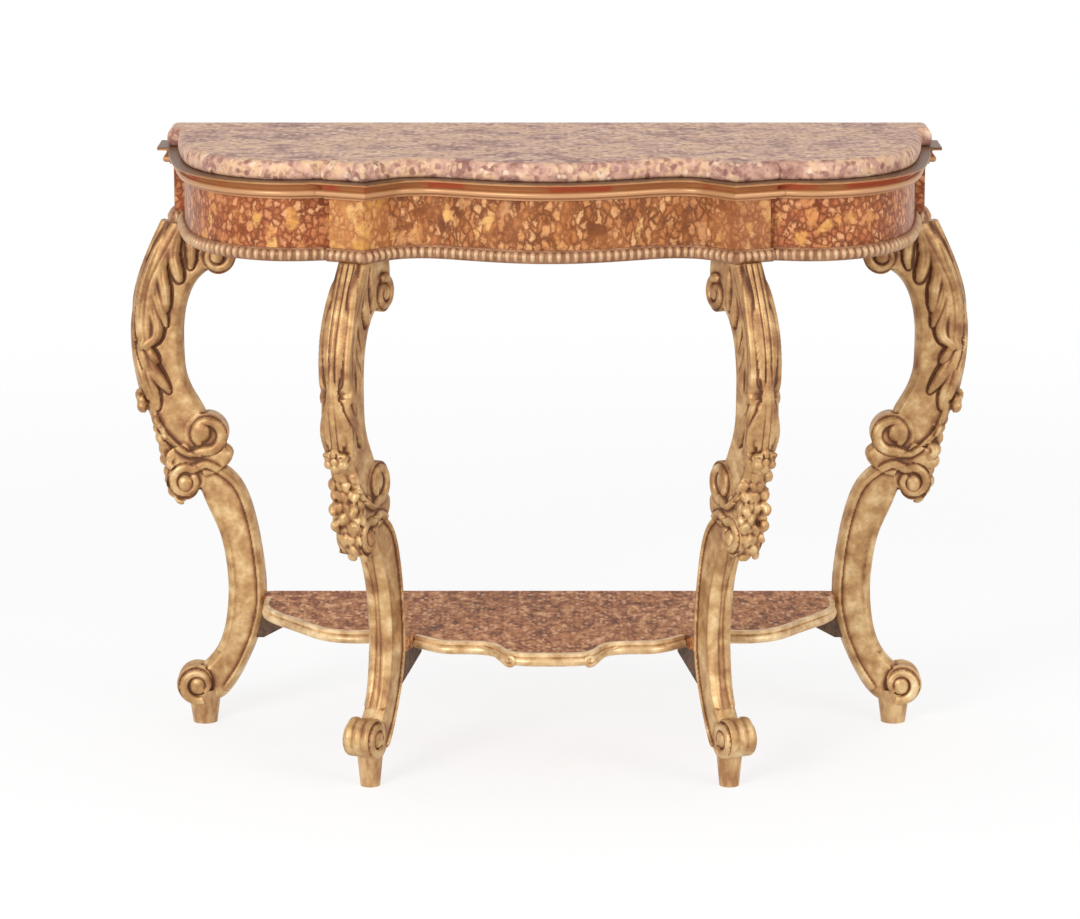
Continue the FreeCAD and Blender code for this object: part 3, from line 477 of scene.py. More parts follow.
def relief_of(places, ridges, vein=0.0, groove=(1.12, 0.14)):
    """Height of the ridges at flat places in mm, and how much of an outline cut runs beside them.

    A vein is a line cut this many mm into a ridge's back. A groove is given by its distance from the ridge's line
    and its breadth, both in half widths of the ridge.
    """
    height = np.zeros(len(places))
    cut = np.zeros(len(places))
    for ridge in ridges:
        line = smooth_line(ridge)
        beside = np.full(len(places), FAR_OFF)
        tall = np.zeros(len(places))
        for a, b in zip(line, line[1:]):
            step = b[:2] - a[:2]
            share = np.clip((places - a[:2]) @ step / max(step @ step, 1e-9), 0, 1)
            spot = a + share[:, None] * (b - a)
            off = np.hypot(places[:, 0] - spot[:, 0], places[:, 1] - spot[:, 1]) / spot[:, 2]
            tall = np.maximum(tall, spot[:, 3] * np.clip(1 - off ** BACK, 0, None) ** SHOULDER)
            beside = np.minimum(beside, off)
        tall = np.maximum(tall - vein * np.exp(-(beside / VEIN_BREADTH) ** 2), 0)
        height = (height ** MEETING + tall ** MEETING) ** (1 / MEETING)
        cut = np.maximum(cut, np.exp(-((beside - groove[0]) / groove[1]) ** 2))
    return height, cut * np.clip(1 - height / CUT_COVER, 0, 1)


print("height on a leaflet's line:", relief_of(np.array([leaf_ridges[1][1][:2]]), leaf_ridges[1:2])[0], "mm")

# %% Raise the ridges of a leg
LEAF_VEIN, LEAF_GROOVE = 0.8, (1.24, 0.22)
LEAF_CUT, ROLL_CUT, RIB_CUT, BORDER_CUT = 1.7, 0.3, 1.5, 0.3  # how strongly each kind of ridge is outlined
CHEEK_CUT_DEPTH = 1.6         # mm
VOLUTE_GROUND = 17.5          # mm from the leg's middle plane to the ground that a volute's ridge stands on
TOE_SET_BACK = 4              # mm that a toe's ground lies inside its cheek
GROUND_REACH = 1.02           # share of a volute's radius that its ground fills
GROUND_SLACK = 3              # mm below its ground that a point is still lifted to it
RIB_FACE = (40, 495)          # the ribs lie further out and higher up than this
HOLLOW_FACE = (20, 110, 350)  # the hollow face lies further in than the first number, between the two heights
TROUGH = 6                    # mm on each side of the hollow face's middle line
CHEEK_FROM, OUTER_FROM = 0.35, 0.25  # sideways and outward share of a normal where a cheek and the outer face start
# Painted shade beside the ribs and along the middle of the hollow face, and the most painted shade anywhere
RIB_SHADE, TROUGH_SHADE, DARKEST = 1.3, 0.5, 1.7


def points_of(mesh):
    """Places and normals of a mesh's points, as two tables."""
    tables = [np.empty(len(mesh.vertices) * 3) for _ in range(2)]
    for what, table in zip(("co", "normal"), tables):
        mesh.vertices.foreach_get(what, table)
    return [table.reshape(-1, 3) for table in tables]


def fade_in(values, start, breadth=0.3):
    """0 up to a start, 1 from a breadth above it, and an even blend between."""
    return np.clip((values - start) / breadth, 0, 1)


def carve(mesh, toe, toe_half):
    """Raise all ridges of a leg, and give back the painted shade for each point: in outline cuts, beside the ribs and
    along the middle of the lower scroll's hollow face.
    """
    points, normals = points_of(mesh)
    points = points / MM
    side = np.sign(points[:, 1])
    leaf, leaf_cut = relief_of(points[:, [0, 2]], leaf_ridges, LEAF_VEIN, LEAF_GROOVE)
    roll, roll_cut = relief_of(points[:, [0, 2]], roll_ridges + [spiral(*toe, -120, 1), ball(*toe)])
    facing = fade_in(np.abs(normals[:, 1]), CHEEK_FROM)
    cheek_cut = np.maximum(LEAF_CUT * leaf_cut, ROLL_CUT * roll_cut) * np.clip(1 - np.maximum(leaf, roll), 0, 1)
    level = np.abs(points[:, 1]) + facing * (np.maximum(leaf, roll) - CHEEK_CUT_DEPTH * cheek_cut)
    for (centre, radius), ground in ((TOP_VOLUTE, VOLUTE_GROUND), (KNEE_VOLUTE, VOLUTE_GROUND),
                                     (SHIN_VOLUTE, VOLUTE_GROUND), (toe, toe_half - TOE_SET_BACK)):
        inside = np.hypot(points[:, 0] - centre[0], points[:, 2] - centre[1]) < GROUND_REACH * radius
        inside &= np.abs(points[:, 1]) > ground - GROUND_SLACK
        level[inside] = ground + roll[inside]
        cheek_cut[inside] = 0
    ribs, rib_cut = relief_of(points[:, [1, 2]], OUTER_RIBS)
    borders, border_cut = relief_of(points[:, [1, 2]], HOLLOW_BORDERS)
    outward = fade_in(normals[:, 0], OUTER_FROM)
    upper = outward * ((points[:, 0] > RIB_FACE[0]) & (points[:, 2] > RIB_FACE[1]))
    furthest, bottom, top = HOLLOW_FACE
    lower = outward * ((points[:, 0] < furthest) & (points[:, 2] < top) & (points[:, 2] > bottom))
    rise = upper * (ribs - RIB_CUT * rib_cut) + lower * (borders - BORDER_CUT * border_cut)
    # Painted shade along the middle of the lower scroll's hollow face; it moves no point
    trough_shade = lower * np.exp(-(points[:, 1] / TROUGH) ** 2)
    points[:, 1] = side * level
    points += normals * rise[:, None]
    mesh.vertices.foreach_set("co", (points * MM).ravel())
    mesh.update()
    print("tallest leaf and rib:", round(leaf.max(), 1), round(ribs.max(), 1), "mm")
    return np.clip(facing * cheek_cut + RIB_SHADE * upper * rib_cut + TROUGH_SHADE * trough_shade, 0, DARKEST)


# %% [markdown]
# ## Finding the hollows
# Dirt gathers in hollows and gold is rubbed bright on ridges, and shade is painted into the hollows and highlight onto
# the ridges, so the finish has to know which is which. Cycles can tell it by the Pointiness value, but that changes
# with how fine a mesh is. So the points are smoothed once, and how far each lies below its smoothed place is stored on
# the mesh as an attribute, which the finish reads. Outline cuts get extra painted shade in the same attribute.

# %% Measure the hollows, where dirt, red clay and painted shade show through the gold
FLAT = 0.5       # what a flat place gets
# An outline cut's painted shade raises a point's value by up to this much
CUT_SHADE = 0.18  # what an outline cut adds to it


def mark_hollows(mesh, cut, rounds=12, depth=1.5 * MM):
    """Store how deep each point lies below its smoothed surroundings, from 0 on ridges to 1 in hollows, raised where
    painted shade is given.
    """
    count = len(mesh.vertices)
    points, normals = points_of(mesh)
    edges = np.empty(len(mesh.edges) * 2, dtype=np.int64)
    mesh.edges.foreach_get("vertices", edges)
    edges = edges.reshape(-1, 2)
    links = np.bincount(edges.ravel(), minlength=count)[:, None]
    smooth = points.copy()
    for _ in range(rounds):
        total = np.zeros_like(smooth)
        for axis in range(3):
            total[:, axis] = (np.bincount(edges[:, 0], smooth[edges[:, 1], axis], count)
                              + np.bincount(edges[:, 1], smooth[edges[:, 0], axis], count))
        smooth = total / np.maximum(links, 1)
    below = ((smooth - points) * normals).sum(axis=1)
    hollow = np.clip(FLAT + FLAT * below / depth, 0, 1)
    hollow = np.maximum(hollow, FLAT + CUT_SHADE * cut)
    mesh.attributes.new("hollow", "FLOAT", "POINT").data.foreach_set("value", hollow)
    print("share in hollows:", round(float((hollow > 0.65).mean()), 3))


# %% [markdown]
# ## Water gilding
# The carver's wood was covered with chalk ground, then red clay called bole, then gold leaf, burnished on the high
# places. The eye sees warm satin gold, red-brown where the leaf is rubbed thin, and dark dirt in the hollows. The
# finish paints shade into the hollows and highlight onto the ridges as well, and the tone gets a little darker towards
# the top.

# %% Water gilding over red bole
gilding, tree, shader, place = new_finish("antique_water_gilding_on_bole")
depth = add(tree, "ShaderNodeAttribute", attribute_name="hollow").outputs["Fac"]
patch = add(tree, "ShaderNodeTexNoise", {"Vector": place, "Scale": 1 / (28 * MM), "Detail": 4.0, "Roughness": 0.6})
grain = add(tree, "ShaderNodeTexNoise", {"Vector": place, "Scale": 1 / (6 * MM), "Detail": 4.0})
uneven = add(tree, "ShaderNodeMath", {0: patch.outputs["Fac"], 1: 0.70, 2: depth}, operation="MULTIPLY_ADD")
axis = add(tree, "ShaderNodeSeparateXYZ", {"Vector": place})
# The tone gets a little darker towards the top
higher_darker = add(tree, "ShaderNodeMapRange", {"Value": axis.outputs["Z"], "From Min": 0.30, "From Max": 0.55,
                                         "To Min": -0.365, "To Max": -0.31})
level = add(tree, "ShaderNodeMath", {0: uneven.outputs["Value"], 1: higher_darker.outputs["Result"]}, operation="ADD")
# Pale stops are painted highlight on the ridges; dark stops are dirt and painted shade in hollows and outline cuts
gold = add(tree, "ShaderNodeValToRGB", {"Fac": level.outputs["Value"]},
           stops=[(0.22, "#FAECC8"), (0.40, "#DEBC89"), (0.52, "#BE9562"), (0.66, "#956540"), (0.88, "#603C24")])
rub = add(tree, "ShaderNodeMapRange", {"Value": grain.outputs["Fac"], "From Min": 0.56, "From Max": 0.70,
                                       "To Max": 0.35})
worn = add(tree, "ShaderNodeMix", {"Factor": rub.outputs["Result"], 6: gold.outputs["Color"], 7: linear("#A66C42")},
           data_type="RGBA")
bump = add(tree, "ShaderNodeBump", {"Height": grain.outputs["Fac"], "Strength": 0.15, "Distance": 0.6 * MM})
polish = add(tree, "ShaderNodeMapRange", {"Value": depth, "From Min": 0.3, "From Max": 0.8,
                                          "To Min": 0.38, "To Max": 0.60})
tree.links.new(worn.outputs[2], shader.inputs["Base Color"])
tree.links.new(bump.outputs["Normal"], shader.inputs["Normal"])
tree.links.new(polish.outputs["Result"], shader.inputs["Roughness"])
shader.inputs["Metallic"].default_value = 0.48
print("finish:", gilding.name)

# %% [markdown]
# ## Setting the four legs
# The back legs stand in the plane of the wall and the front legs turn outwards, so two legs are carved, each in a frame
# of its own. The two cheeks of a leg are all but alike, so turning that frame places the left leg too and nothing has
# to be mirrored, which would turn the mesh inside out. Every leg gets its own mesh with its place in it.

# %% Where each leg stands
FRONT_SPLAY = math.radians(25)
FOOT_REACH = {"front": -4 * MM, "back": 6 * MM}
mounts = {mount["name"]: Vector(mount["pos_m"]) for mount in frame["record"]["mounts"]}


def leg_frame(row, side):
    """Matrix that takes a leg from its own frame to its place at the front or back, left or right."""
    out = Vector((math.sin(FRONT_SPLAY), -math.cos(FRONT_SPLAY))) if row == "front" else Vector((1.0, 0.0))
    out.x *= 1 if side == "right" else -1
    foot = mounts["foot_" + row + "_" + side]
    stand = foot.to_2d() - out * FOOT_REACH[row]
    return Matrix(((out.x, -out.y, 0, stand.x), (out.y, out.x, 0, stand.y), (0, 0, 1, foot.z), (0, 0, 0, 1)))


print("front left leg stands at:", [round(v, 3) for v in leg_frame("front", "left").translation])

# %% Carve the front and back legs and set all four
for row, (toe, toe_half) in TOES.items():
    strokes = petals + lumps + fringes + toe_wraps(*toe, toe_half) + (cheek_lumps if row == "front" else [])
    carved = fused_blank("leg_" + row + "_right", leg_frame(row, "right").inverted(), strokes)
    mark_hollows(carved.data, carve(carved.data, toe, toe_half))
    carved.data.materials.clear()
    carved.data.materials.append(gilding)
    for side in ("left", "right"):
        corner = row + "_" + side
        leg = bpy.data.objects.new("carved_leg_" + corner, carved.data.copy())
        leg.data.transform(leg_frame(row, side))
        bpy.context.scene.collection.objects.link(leg)
        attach(leg, "frame")
        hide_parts("leg_" + corner, "knee_leaf_" + corner, "knee_bud_" + corner)
        print("set", leg.name)
    bpy.data.objects.remove(carved)

# %% [markdown]
# ## The lobed bead
# A row of small upright lobes runs along the foot of the frieze. The CAD bead is a plain moulding, so it is thinned
# to a backing strip, and one lobe is modelled and copied along it. An array bent along a curve would do that too, but
# it bends the lobes with it. So the line of the bead is written down, each lobe faces square to it, and a ray cast back
# along that direction finds where the frieze's wall is.

# %% Walls of the frieze, and the line that the bead follows
def wall_of(names):
    """A search tree over the faces of some CAD nodes."""
    corners, faces = [], []
    for name in names:
        start = len(corners)
        mesh = nodes[name].data
        corners += [v.co.copy() for v in mesh.vertices]
        faces += [[start + i for i in p.vertices] for p in mesh.polygons]
    return BVHTree.FromPolygons(corners, faces)


frieze_wall = wall_of([n for n in nodes if n.startswith(("apron_rail", "front_post", "back_post", "side_rail"))])
# Right half in mm: out from the middle, and forward from the wall plane
EAR = [[(548, 4), (548, 60)], [(548, 60), (531, 60)]]
BOW = [[(531, 60), (520, 190), (489, 316), (419, 395), (364, 412), (299, 401)]]
POST = [[(299, 401), (305, 414)], [(305, 414), (257, 436)]]
FLANK = [(257, 436), (224, 403)]
WAVE = [(224, 403), (186, 385), (112, 406), (0, 436), (-112, 406), (-186, 385), (-224, 403)]
BEAD_RUNS = {"centre": [FLANK, WAVE, [(-x, d) for x, d in reversed(FLANK)]]}
for name, run in (("ear", EAR), ("side", BOW), ("post", POST)):
    BEAD_RUNS[name + "_right"] = run
    BEAD_RUNS[name + "_left"] = [[(-x, d) for x, d in line] for line in run]
print("bead runs:", len(BEAD_RUNS))

# %% One lobe, modelled from a sphere
LOBE_PITCH = 11.5
LOBE_REACH = 11.0
bead_low, bead_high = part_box("bead_centre")
bead_height = bead_high.z - bead_low.z
bead_middle = (bead_low.z + bead_high.z) / 2

bpy.ops.object.select_all(action="DESELECT")
bpy.ops.mesh.primitive_uv_sphere_add(segments=10, ring_count=6, radius=1.0, location=(0, 0, 0))
lobe = bpy.context.object
bpy.ops.object.mode_set(mode="EDIT")
bpy.ops.mesh.select_all(action="SELECT")
bpy.ops.transform.resize(value=(0.47 * LOBE_PITCH * MM, LOBE_REACH * MM, 0.49 * bead_height))
bpy.ops.object.mode_set(mode="OBJECT")
# A lobe is broader above its middle than below, round in front and nearly flat behind
for corner in lobe.data.vertices:
    corner.co.x *= 1.06 if corner.co.z > 0 else 0.94
    corner.co.y *= 1.0 if corner.co.y < 0 else 0.1
bpy.ops.object.shade_smooth()
print("faces in a lobe:", len(lobe.data.polygons))

# %% [markdown]
# ## Gilding on the bead
# The bead is gilded over the same red clay, but it looks duller and redder than the legs. It could share their finish.
# A finish of its own, with less metal in it, can be toned without changing the legs. It reads the same attribute, which
# here says how far a point stands out on its lobe: painted highlight on a lobe's front, and painted shade at its foot
# and on the strip between lobes.

# %% Toned gilding for the bead: dull gold on the lobes, red clay and painted shade between them
bead_gilt, tree, shader, place = new_finish("toned_gilding_on_lobed_bead")
depth = add(tree, "ShaderNodeAttribute", attribute_name="hollow").outputs["Fac"]
patch = add(tree, "ShaderNodeTexNoise", {"Vector": place, "Scale": 1 / (16 * MM), "Detail": 3.0})
uneven = add(tree, "ShaderNodeMath", {0: patch.outputs["Fac"], 1: 0.7, 2: depth}, operation="MULTIPLY_ADD")
# Light on the lobes' fronts is painted highlight; dark at their feet and on the strip is painted shade
tone = add(tree, "ShaderNodeValToRGB", {"Fac": uneven.outputs["Value"]},
           stops=[(0.25, "#D4B690"), (0.45, "#C59E78"), (0.65, "#B0825E"), (0.95, "#885A3E")])
tree.links.new(tone.outputs["Color"], shader.inputs["Base Color"])
shader.inputs["Metallic"].default_value = 0.3
shader.inputs["Roughness"].default_value = 0.45
print("finish:", bead_gilt.name)

# %% Places of the lobes
RUN_STEPS = 30
ABOVE_BEAD = 20 * MM  # the wall is looked for on the plain frieze, this far above the bead
RAY_START, RAY_REACH = 8 * MM, 30 * MM
SQUARE_ENOUGH = 0.3   # a wall that is turned further away than this cosine isn't the lobe's own


def set_out(run):
    """Places of lobes on the frieze's wall, and the way each faces: square to the run, an even pitch on each line."""
    places = []
    for line in run:
        fine = smooth_line(line, RUN_STEPS) if len(line) > 2 else np.array(line, dtype=float)
        length = np.concatenate([[0], np.cumsum(np.hypot(*np.diff(fine, axis=0).T))])
        count = max(2, round(length[-1] / LOBE_PITCH))
        for along in (np.arange(count) + 0.5) / count * length[-1]:
            x, d, next_x, next_d = [np.interp(s, length, fine[:, i]) for s in (along, along + 1) for i in (0, 1)]
            facing = Vector((next_d - d, next_x - x, 0)).normalized()
            if facing.dot(Vector((x, -d, 0))) < 0:
                facing.negate()
            start = Vector((x * MM, cad_high.y - d * MM, bead_high.z + ABOVE_BEAD))
            spot, normal, _, _ = frieze_wall.ray_cast(start + RAY_START * facing, -facing, RAY_REACH)
            if spot is None or normal.dot(facing) < SQUARE_ENOUGH:
                spot = frieze_wall.find_nearest(start)[0]
            places.append((spot, facing))
    return places


print("lobes on the centre run:", len(set_out(BEAD_RUNS["centre"])))

# %% A copy of a CAD piece that can be edited
SHARP_DEGREES = 35


def clean_copy(node, name):
    """A copy of a CAD piece with its points merged and its sharp edges marked, selected and active."""
    copy = bpy.data.objects.new(name, nodes[node].data.copy())
    bpy.context.scene.collection.objects.link(copy)
    pick(copy)
    bpy.ops.object.mode_set(mode="EDIT")
    bpy.ops.mesh.select_all(action="SELECT")
    bpy.ops.mesh.remove_doubles(threshold=MERGE)
    bpy.ops.mesh.customdata_custom_splitnormals_clear()
    bpy.ops.mesh.select_mode(type="EDGE")
    bpy.ops.mesh.select_all(action="DESELECT")
    bpy.ops.mesh.edges_select_sharp(sharpness=math.radians(SHARP_DEGREES))
    bpy.ops.mesh.mark_sharp()
    bpy.ops.object.mode_set(mode="OBJECT")
    bpy.ops.object.shade_smooth()
    print("copied", node, "with", len(copy.data.vertices), "points")
    return copy


# %% Lobes along each run, joined to a thinned backing strip
BEHIND = {"ear": "back_post_", "side": "side_rail_", "post": "front_post_"}
STRIP_SHARE = 0.5      # what is left of the moulding's thickness
LOBE_FOOT_SHADE = 0.45  # how hollow a lobe counts where it meets the strip
for name, run in BEAD_RUNS.items():
    node = "bead_" + name
    strip = clean_copy(node, "lobed_" + node)
    kind, _, side = name.partition("_")
    own_wall = wall_of([BEHIND[kind] + side] if side else ["apron_rail", "front_post_left", "front_post_right"])
    for corner in strip.data.vertices:
        spot = own_wall.find_nearest(corner.co)[0]
        corner.co = spot + STRIP_SHARE * (corner.co - spot)
    strip.data.attributes.new("hollow", "FLOAT", "POINT").data.foreach_set("value", [FLAT] * len(strip.data.vertices))
    for spot, facing in set_out(run):
        turn = Matrix(((-facing.y, -facing.x, 0, spot.x), (facing.x, -facing.y, 0, spot.y),
                       (0, 0, 1, bead_middle), (0, 0, 0, 1)))
        copy = bpy.data.objects.new("lobe", lobe.data.copy())
        # A lobe's tone runs from painted highlight on its front to painted shade at its foot
        reach = [max(0.0, -v.co.y) / (LOBE_REACH * MM) for v in copy.data.vertices]
        tones = [LOBE_FOOT_SHADE * (1 - r) for r in reach]
        copy.data.attributes.new("hollow", "FLOAT", "POINT").data.foreach_set("value", tones)
        copy.data.transform(turn)
        bpy.context.scene.collection.objects.link(copy)
        copy.select_set(True)
    bpy.ops.object.join()
    strip.data.materials.clear()
    strip.data.materials.append(bead_gilt)
    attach(strip, "frame")
    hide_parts(node)
    print(strip.name, "faces:", len(strip.data.polygons))
bpy.data.objects.remove(lobe)

# %% [markdown]
# ## The stone top
# All the other pieces but one have the right shape already, so they only need their finishes. The top is brocatelle, a
# stone of small broken pieces, sawn and polished. A picture of stone laid on it would stretch over the rounded edge.
# Noise in three dimensions runs through the slab as the real stone does, so the edge matches the face.

# %% Polished brocatelle for the top: a mottled stone of mauve, pink, cream and ochre, with a soft shine
stone, tree, shader, place = new_finish("polished_brocatelle_stone")
wander = add(tree, "ShaderNodeTexNoise", {"Vector": place, "Scale": 1 / (30 * MM), "Detail": 3.0})
moved = add(tree, "ShaderNodeVectorMath", {0: wander.outputs["Color"], 1: (0.02, 0.02, 0.02), 2: place},
            operation="MULTIPLY_ADD")
cloud = add(tree, "ShaderNodeTexNoise", {"Vector": moved.outputs["Vector"], "Scale": 1 / (55 * MM), "Detail": 6.0,
                                         "Roughness": 0.62})
base = add(tree, "ShaderNodeValToRGB", {"Fac": cloud.outputs["Fac"]},
           stops=[(0.36, "#986F66"), (0.43, "#BE9382"), (0.50, "#DAAF9A"), (0.57, "#E8C198"), (0.64, "#C89887")])
clast = add(tree, "ShaderNodeTexVoronoi", {"Vector": moved.outputs["Vector"], "Scale": 1 / (10 * MM)})
kind = add(tree, "ShaderNodeSeparateColor", {"Color": clast.outputs["Color"]})
spot = add(tree, "ShaderNodeValToRGB", {"Fac": kind.outputs[0]},
           stops=[(0.0, "#845A53"), (0.30, "#B8897A"), (0.55, "#D8AB92"), (0.80, "#EBC7A0"), (1.0, "#F6DCC6")])
rim = add(tree, "ShaderNodeMapRange", {"Value": clast.outputs["Distance"], "From Min": 0.35, "From Max": 0.60,
                                       "To Min": 0.80, "To Max": 0.0})
mixed = add(tree, "ShaderNodeMix", {"Factor": rim.outputs["Result"], 6: base.outputs["Color"],
                                    7: spot.outputs["Color"]}, data_type="RGBA")
speck = add(tree, "ShaderNodeTexNoise", {"Vector": place, "Scale": 1 / (8 * MM), "Detail": 3.0})
wine = add(tree, "ShaderNodeMapRange", {"Value": speck.outputs["Fac"], "From Min": 0.56, "From Max": 0.66,
                                        "To Max": 0.5})
final = add(tree, "ShaderNodeMix", {"Factor": wine.outputs["Result"], 6: mixed.outputs[2], 7: linear("#86594E")},
            data_type="RGBA")
tree.links.new(final.outputs[2], shader.inputs["Base Color"])
shader.inputs["Roughness"].default_value = 0.40
shader.inputs["IOR"].default_value = 1.5
shader.inputs["Specular IOR Level"].default_value = 0.05
print("finish:", stone.name)

# %% [markdown]
# ## Painted stone on the frieze
# The frieze is wood, painted to look like a breccia and varnished. A breccia is a stone of angular pieces with veins
# between them. Voronoi cells have straight sides, and their distance to the edge gives the veins, so they suit it
# better than noise. Two sizes lie over each other, tilted and stretched by the brush. Each part of the frieze has its
# own tones, so one function makes four finishes.

# %% Painted breccia: angular stones of two sizes, dark veins between them on a clouded ground, under old varnish
def painted_breccia(name, tilt, stretch, small_stones, large_stones, ground):
    """Varnished paint that imitates a breccia, with its stones tilted and stretched by the brush."""
    material, tree, shader, place = new_finish(name)
    wander = add(tree, "ShaderNodeTexNoise", {"Vector": place, "Scale": 1 / (9 * MM), "Detail": 4.0, "Roughness": 0.7})
    moved = add(tree, "ShaderNodeVectorMath", {0: wander.outputs["Color"], 1: (0.012, 0.012, 0.012), 2: place},
                operation="MULTIPLY_ADD")
    turned = add(tree, "ShaderNodeMapping", {"Vector": moved.outputs["Vector"], "Rotation": (0, math.radians(tilt), 0),
                                             "Scale": (1.0, 1.0, 1 / stretch)})
    cloud = add(tree, "ShaderNodeTexNoise", {"Vector": place, "Scale": 1 / (38 * MM), "Detail": 4.0})
    colour = add(tree, "ShaderNodeValToRGB", {"Fac": cloud.outputs["Fac"]},
                 stops=[(0.36, ground[0]), (0.52, ground[1]), (0.66, ground[2])]).outputs["Color"]
    for size, stones, vein, chance in ((9.5, small_stones, 0.28, 0.05), (18, large_stones, 0.24, 0.74)):
        cell = add(tree, "ShaderNodeTexVoronoi", {"Vector": turned.outputs["Vector"], "Scale": 1 / (size * MM)})
        rim = add(tree, "ShaderNodeTexVoronoi", {"Vector": turned.outputs["Vector"], "Scale": 1 / (size * MM)},
                  feature="DISTANCE_TO_EDGE")
        kind = add(tree, "ShaderNodeSeparateColor", {"Color": cell.outputs["Color"]})
        tint = add(tree, "ShaderNodeValToRGB", {"Fac": kind.outputs[0]},
                   stops=[(0.2, stones[0]), (0.55, stones[1]), (0.9, stones[2])])
        inside = add(tree, "ShaderNodeMapRange", {"Value": rim.outputs["Distance"], "From Min": 0.0, "From Max": vein,
                                                  "To Min": 0.0, "To Max": 0.85}, interpolation_type="SMOOTHSTEP")
        chosen = add(tree, "ShaderNodeMath", {0: kind.outputs[1], 1: chance}, operation="GREATER_THAN")
        cover = add(tree, "ShaderNodeMath", {0: inside.outputs["Result"], 1: chosen.outputs["Value"]},
                    operation="MULTIPLY")
        colour = add(tree, "ShaderNodeMix", {"Factor": cover.outputs["Value"], 6: colour, 7: tint.outputs["Color"]},
                     data_type="RGBA").outputs[2]
    brush = add(tree, "ShaderNodeTexNoise", {"Vector": place, "Scale": 1 / (7 * MM), "Detail": 4.0, "Roughness": 0.65})
    worn = add(tree, "ShaderNodeMapRange", {"Value": brush.outputs["Fac"], "From Min": 0.46, "From Max": 0.66,
                                            "To Max": 0.55})
    colour = add(tree, "ShaderNodeMix", {"Factor": worn.outputs["Result"], 6: colour, 7: linear(ground[0])},
                 data_type="RGBA").outputs[2]
    tree.links.new(colour, shader.inputs["Base Color"])
    shader.inputs["Roughness"].default_value = 0.40
    shader.inputs["Specular IOR Level"].default_value = 0.20
    print("finish:", name)
    return material


frieze_centre = painted_breccia("painted_breccia_centre", 45, 1.7, ("#BE7846", "#DA9860", "#F0B780"),
                                ("#CE9462", "#E4A85C", "#ECB872"), ("#703E1E", "#884E28", "#A06236"))
frieze_pale = painted_breccia("painted_breccia_left_post", 15, 1.3, ("#C88650", "#D89A60", "#E6B076"),
                              ("#D49A50", "#E0AA60", "#E6BA78"), ("#9E6036", "#AE6E40", "#BA7C48"))
frieze_dark = painted_breccia("painted_breccia_right_post", 15, 1.3, ("#B4744A", "#C8885A", "#DAA070"),
                              ("#C48858", "#D49A5C", "#DCAA70"), ("#88502C", "#985C36", "#A4683E"))
frieze_side = painted_breccia("painted_breccia_sides", 0, 1.3, ("#BE7248", "#D9905F", "#EEAE7B"),
                              ("#D48E5A", "#E0A054", "#EAB46A"), ("#763C1E", "#8A4826", "#9C5832"))

# %% [markdown]
# ## Painted marble on the shelf
# The shelf is painted too, but its paint is rubbed and has cloudy patches instead of clear stones. The frieze's finish
# would look too sharp here. Noise that is stretched and distorted gives streaks, small round cells give dark and pale
# spots, and rough paint with little reflection gives the eye almost no shine.

# %% Painted marble for the shelf: rubbed red-brown paint with pale cloudy stones
shelf_paint, tree, shader, place = new_finish("painted_marble_shelf")
long_place = add(tree, "ShaderNodeMapping", {"Vector": place, "Scale": (1.0, 0.5, 1.0)})
streak = add(tree, "ShaderNodeTexNoise", {"Vector": long_place.outputs["Vector"], "Scale": 1 / (16 * MM), "Detail": 6.0,
                                          "Roughness": 0.75, "Distortion": 0.5})
base = add(tree, "ShaderNodeValToRGB", {"Fac": streak.outputs["Fac"]},
           stops=[(0.38, "#6A3C26"), (0.45, "#945C3A"), (0.51, "#B8784C"), (0.57, "#CA9062"), (0.64, "#E6BA90")])
cell = add(tree, "ShaderNodeTexVoronoi", {"Vector": long_place.outputs["Vector"], "Scale": 1 / (7 * MM)})
kind = add(tree, "ShaderNodeSeparateColor", {"Color": cell.outputs["Color"]})
tint = add(tree, "ShaderNodeValToRGB", {"Fac": kind.outputs[0]},
           stops=[(0.2, "#784630"), (0.55, "#BC8256"), (0.9, "#EABC94")])
inside = add(tree, "ShaderNodeMapRange", {"Value": cell.outputs["Distance"], "From Min": 0.35, "From Max": 0.6,
                                          "To Min": 0.7, "To Max": 0.0})
final = add(tree, "ShaderNodeMix", {"Factor": inside.outputs["Result"], 6: base.outputs["Color"],
                                    7: tint.outputs["Color"]}, data_type="RGBA")
tree.links.new(final.outputs[2], shader.inputs["Base Color"])
shader.inputs["Roughness"].default_value = 0.55
shader.inputs["Specular IOR Level"].default_value = 0.12
print("finish:", shelf_paint.name)

# %% [markdown]
# ## Gilding on the cornice
# Oil gilding is gold leaf on a sticky oil, which can't be burnished, so it looks flatter than the gold on the legs. The
# lengths of the cornice all lie at one height. So no attribute is needed here: the height alone tells a round from a
# hollow, and a colour ramp over the height paints the bands. The ramp also paints shade: a dark band under the round,
# and a dark top where the stone overhangs.

# %% Oil gilding on the cornice: gold on its rounds, red clay showing in stretches of its hollow, and painted shade
CORNICE_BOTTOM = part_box("cornice_centre")[0].z
CORNICE_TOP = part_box("cornice_centre")[1].z
cornice_gilt, tree, shader, place = new_finish("oil_gilding_on_cornice")
axis = add(tree, "ShaderNodeSeparateXYZ", {"Vector": place})
rise = add(tree, "ShaderNodeMapRange", {"Value": axis.outputs["Z"], "From Min": CORNICE_BOTTOM,
                                        "From Max": CORNICE_TOP})
patch = add(tree, "ShaderNodeTexNoise", {"Vector": place, "Scale": 1 / (14 * MM), "Detail": 4.0})
level = add(tree, "ShaderNodeMath", {0: patch.outputs["Fac"], 1: 0.10, 2: rise.outputs["Result"]},
            operation="MULTIPLY_ADD")
